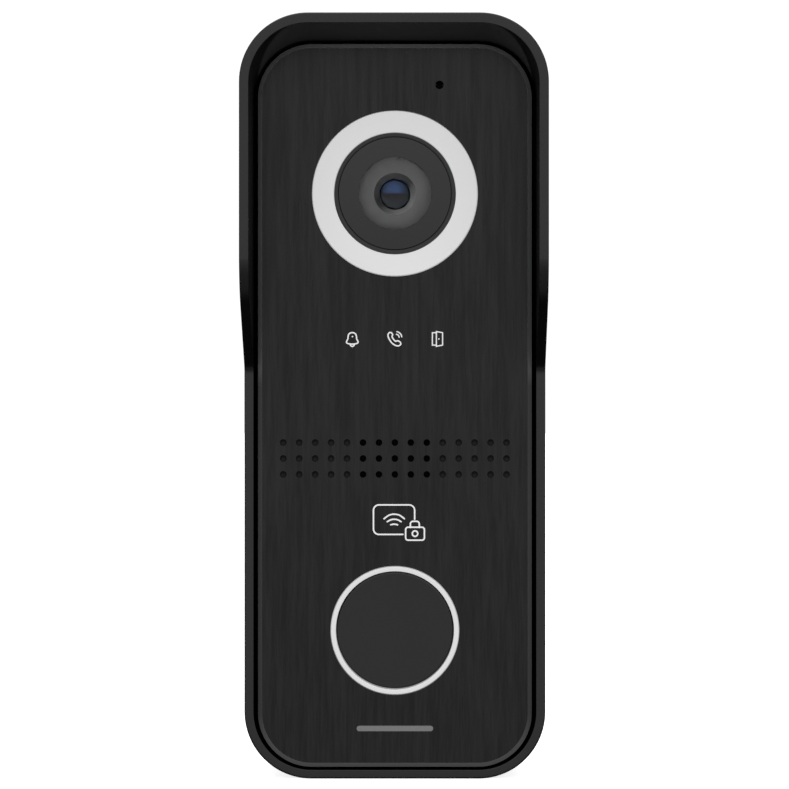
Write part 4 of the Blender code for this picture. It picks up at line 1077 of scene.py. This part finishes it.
def make_back_fittings():
    work = bmesh.new()
    strip = [(3.0, 0.5), (3.25, 0.05), (5.75, 0.05), (6.0, 0.5), (6.0, 0.8), (3.0, 0.8)]
    add_rings(work, [at_depth(body_outline(inset), depth) for inset, depth in strip], loop=True)
    finish_piece(work, "wall_seal", RUBBER, "doorbell", ["wall_gasket"])

    work = bmesh.new()
    rings = []
    shapes = [((16.0, 15.0, 2.2), 3.1), ((16.3, 15.3, 2.5), 3.5), ((19.4, 18.4, 5.2), 3.5),
              ((19.7, 18.7, 5.5), 3.2), ((19.7, 18.7, 5.5), 2.2), ((17.7, 16.7, 3.7), 2.2),
              ((17.7, 16.7, 3.7), 0.4), ((17.5, 16.5, 3.5), 0.2), ((16.2, 15.2, 2.4), 0.2),
              ((16.0, 15.0, 2.2), 0.4)]
    for (half_width, half_height, corner), depth in shapes:
        low, high = (-half_width, CABLE_Z - half_height), (half_width, CABLE_Z + half_height)
        rings.append(at_depth(rounded_box(low, high, corner, 10), depth))
    add_rings(work, rings, loop=True)
    finish_piece(work, "cable_seal", RUBBER, "doorbell", ["cable_grommet"])


# ---------------------------------------------------------------- finishes of the plain CAD pieces

CARRIED = {
    HOUSING: ["rear_housing", "lens_holder", "status_light_mask"],
    BUTTON: ["switch_plunger", "tamper_plunger"],
    RUBBER: ["window_gasket", "speaker_gasket", "microphone_boot"],
    SILICONE: ["housing_gasket", "heat_pad"],
    GUIDE: ["status_light_guide"],
    BOARD: ["led_ring_board", "camera_board", "main_board"],
    CHIP: ["image_sensor", "switch_body", "processor", "memory_chip", "poe_transformer", "tamper_body"],
    STEEL: ["speaker_basket", "speaker_magnet", "microphone", "network_jack", "capacitor_1", "capacitor_2"],
    STAINLESS: ["lock_screw", "tamper_spring", "camera_screw_1", "camera_screw_2"]
    + [f"{kind}_screw_{i}" for kind in ("plate", "board") for i in (1, 2, 3, 4)],
    BRASS: ["lock_insert"],
    COPPER: ["reader_antenna"],
    TERMINAL: ["terminal_block"],
    RELAY: ["lock_relay"],
    FILM: ["camera_ribbon"],
    CLOTH: ["speaker_mesh"],
    CONE: ["speaker_cone"],
}


def finish_carried():
    for mat, names in CARRIED.items():
        for name in names:
            data = NODES[name].data
            data.materials.clear()
            data.materials.append(mat)


# ---------------------------------------------------------------- floor, lights and camera

FLOOR_HALF = 6.0
SEEN_WHITE = 1.05
SUN_ENERGY, SUN_SPREAD, SUN_HEIGHT = 1.2, 70, 1.5
LENS_MM, SENSOR_MM, SHIFT_X = 140.95, 36.0, -0.0409
CAMERA_PLACE = (0.007, -0.704, 0.00145)


def make_stage():
    """A pale floor that casts no light on the object and is clear from below."""
    floor_z = cad_box[0][2]
    work = bmesh.new()
    corners = ((-FLOOR_HALF, -FLOOR_HALF), (FLOOR_HALF, -FLOOR_HALF), (FLOOR_HALF, FLOOR_HALF),
               (-FLOOR_HALF, FLOOR_HALF))
    work.faces.new([work.verts.new((x, y, floor_z)) for x, y in corners])
    floor = object_of(work, "floor")
    n = Nodes("pale_floor")
    pale = n.colours(n.noise(3.0, 3.0, 0.5), (0.90, 0.90, 0.90), (0.92, 0.92, 0.92))
    n.base(pale)
    n.fixed(Roughness=0.9, Specular_IOR_Level=0.1, Emission_Color=(1, 1, 1, 1), Emission_Strength=0.8)
    see_through = n.node("ShaderNodeMixShader")
    n.link(n.node("ShaderNodeNewGeometry").outputs["Backfacing"], see_through.inputs[0])
    n.link(n.shader.outputs[0], see_through.inputs[1])
    n.link(n.node("ShaderNodeBsdfTransparent").outputs[0], see_through.inputs[2])
    n.link(see_through.outputs[0], n.tree.nodes["Material Output"].inputs["Surface"])
    floor.data.materials.append(n.mat)
    floor.visible_diffuse = False
    floor.visible_glossy = False
    make_world()


def make_world():
    """A studio that is white to the camera, brightest in front above eye level and dim below.

    Each ramp takes its direction component from start to end and its brightness from low to high.
    """
    world = bpy.data.worlds.new("studio")
    bpy.context.scene.world = world
    world.use_nodes = True
    tree = world.node_tree

    def node(kind, **values):
        made = tree.nodes.new(kind)
        for key, value in values.items():
            setattr(made, key, value)
        return made

    def ramp(value, start, end, low, high):
        made = node("ShaderNodeMapRange", interpolation_type="SMOOTHSTEP")
        for key, number in (("From Min", start), ("From Max", end), ("To Min", low), ("To Max", high)):
            made.inputs[key].default_value = number
        tree.links.new(value, made.inputs["Value"])
        return made.outputs["Result"]

    def combine(kind, first, second):
        made = node("ShaderNodeMath", operation=kind)
        tree.links.new(first, made.inputs[0])
        tree.links.new(second, made.inputs[1])
        return made.outputs[0]

    direction = node("ShaderNodeSeparateXYZ")
    tree.links.new(node("ShaderNodeTexCoord").outputs["Generated"], direction.inputs[0])
    level = ramp(direction.outputs["Z"], -0.50, 0.10, 0.0, 1.0)
    ahead = ramp(direction.outputs["Y"], -0.30, -0.85, 0.0, 0.75)
    around = ramp(direction.outputs["Z"], 0.2, 0.9, 0.25, 0.55)
    squared = combine("MULTIPLY", direction.outputs["X"], direction.outputs["X"])
    sides = ramp(squared, 0.35, 0.85, 0.0, 0.30)
    bright = combine("MULTIPLY", level, combine("ADD", combine("ADD", ahead, around), sides))
    dim = ramp(direction.outputs["Z"], -0.9, -0.2, 0.03, 0.05)
    low_down = ramp(direction.outputs["Z"], 0.0, -0.40, 0.0, 1.0)
    bounce = combine("MULTIPLY", low_down, ramp(direction.outputs["Y"], -0.15, -0.55, 0.0, 0.24))
    light = combine("ADD", combine("ADD", bright, dim), bounce)
    seen = node("ShaderNodeMix")
    tree.links.new(node("ShaderNodeLightPath").outputs["Is Camera Ray"], seen.inputs["Factor"])
    tree.links.new(light, seen.inputs["A"])
    seen.inputs["B"].default_value = SEEN_WHITE
    background = tree.nodes["Background"]
    background.inputs["Color"].default_value = (1, 1, 1, 1)
    tree.links.new(seen.outputs["Result"], background.inputs["Strength"])


def make_lights():
    data = bpy.data.lights.new("overhead", "SUN")
    data.energy = SUN_ENERGY
    data.angle = math.radians(SUN_SPREAD)
    sun = bpy.data.objects.new("overhead", data)
    sun.location = (0, 0, SUN_HEIGHT)
    bpy.context.scene.collection.objects.link(sun)


def make_camera_view():
    data = bpy.data.cameras.new("camera")
    data.sensor_width = SENSOR_MM
    data.lens = LENS_MM
    data.shift_x = SHIFT_X
    data.clip_start = 0.01
    data.clip_end = 50.0
    camera = bpy.data.objects.new("camera", data)
    camera.location = CAMERA_PLACE
    camera.rotation_euler = (math.pi / 2, 0, 0)
    bpy.context.scene.collection.objects.link(camera)
    bpy.context.scene.camera = camera
    bpy.context.scene.view_settings.view_transform = "Standard"


make_frame()
make_plate()
make_symbols()
make_camera()
make_microphone_felt()
make_button()
make_back_fittings()
finish_carried()
make_stage()
make_lights()
make_camera_view()
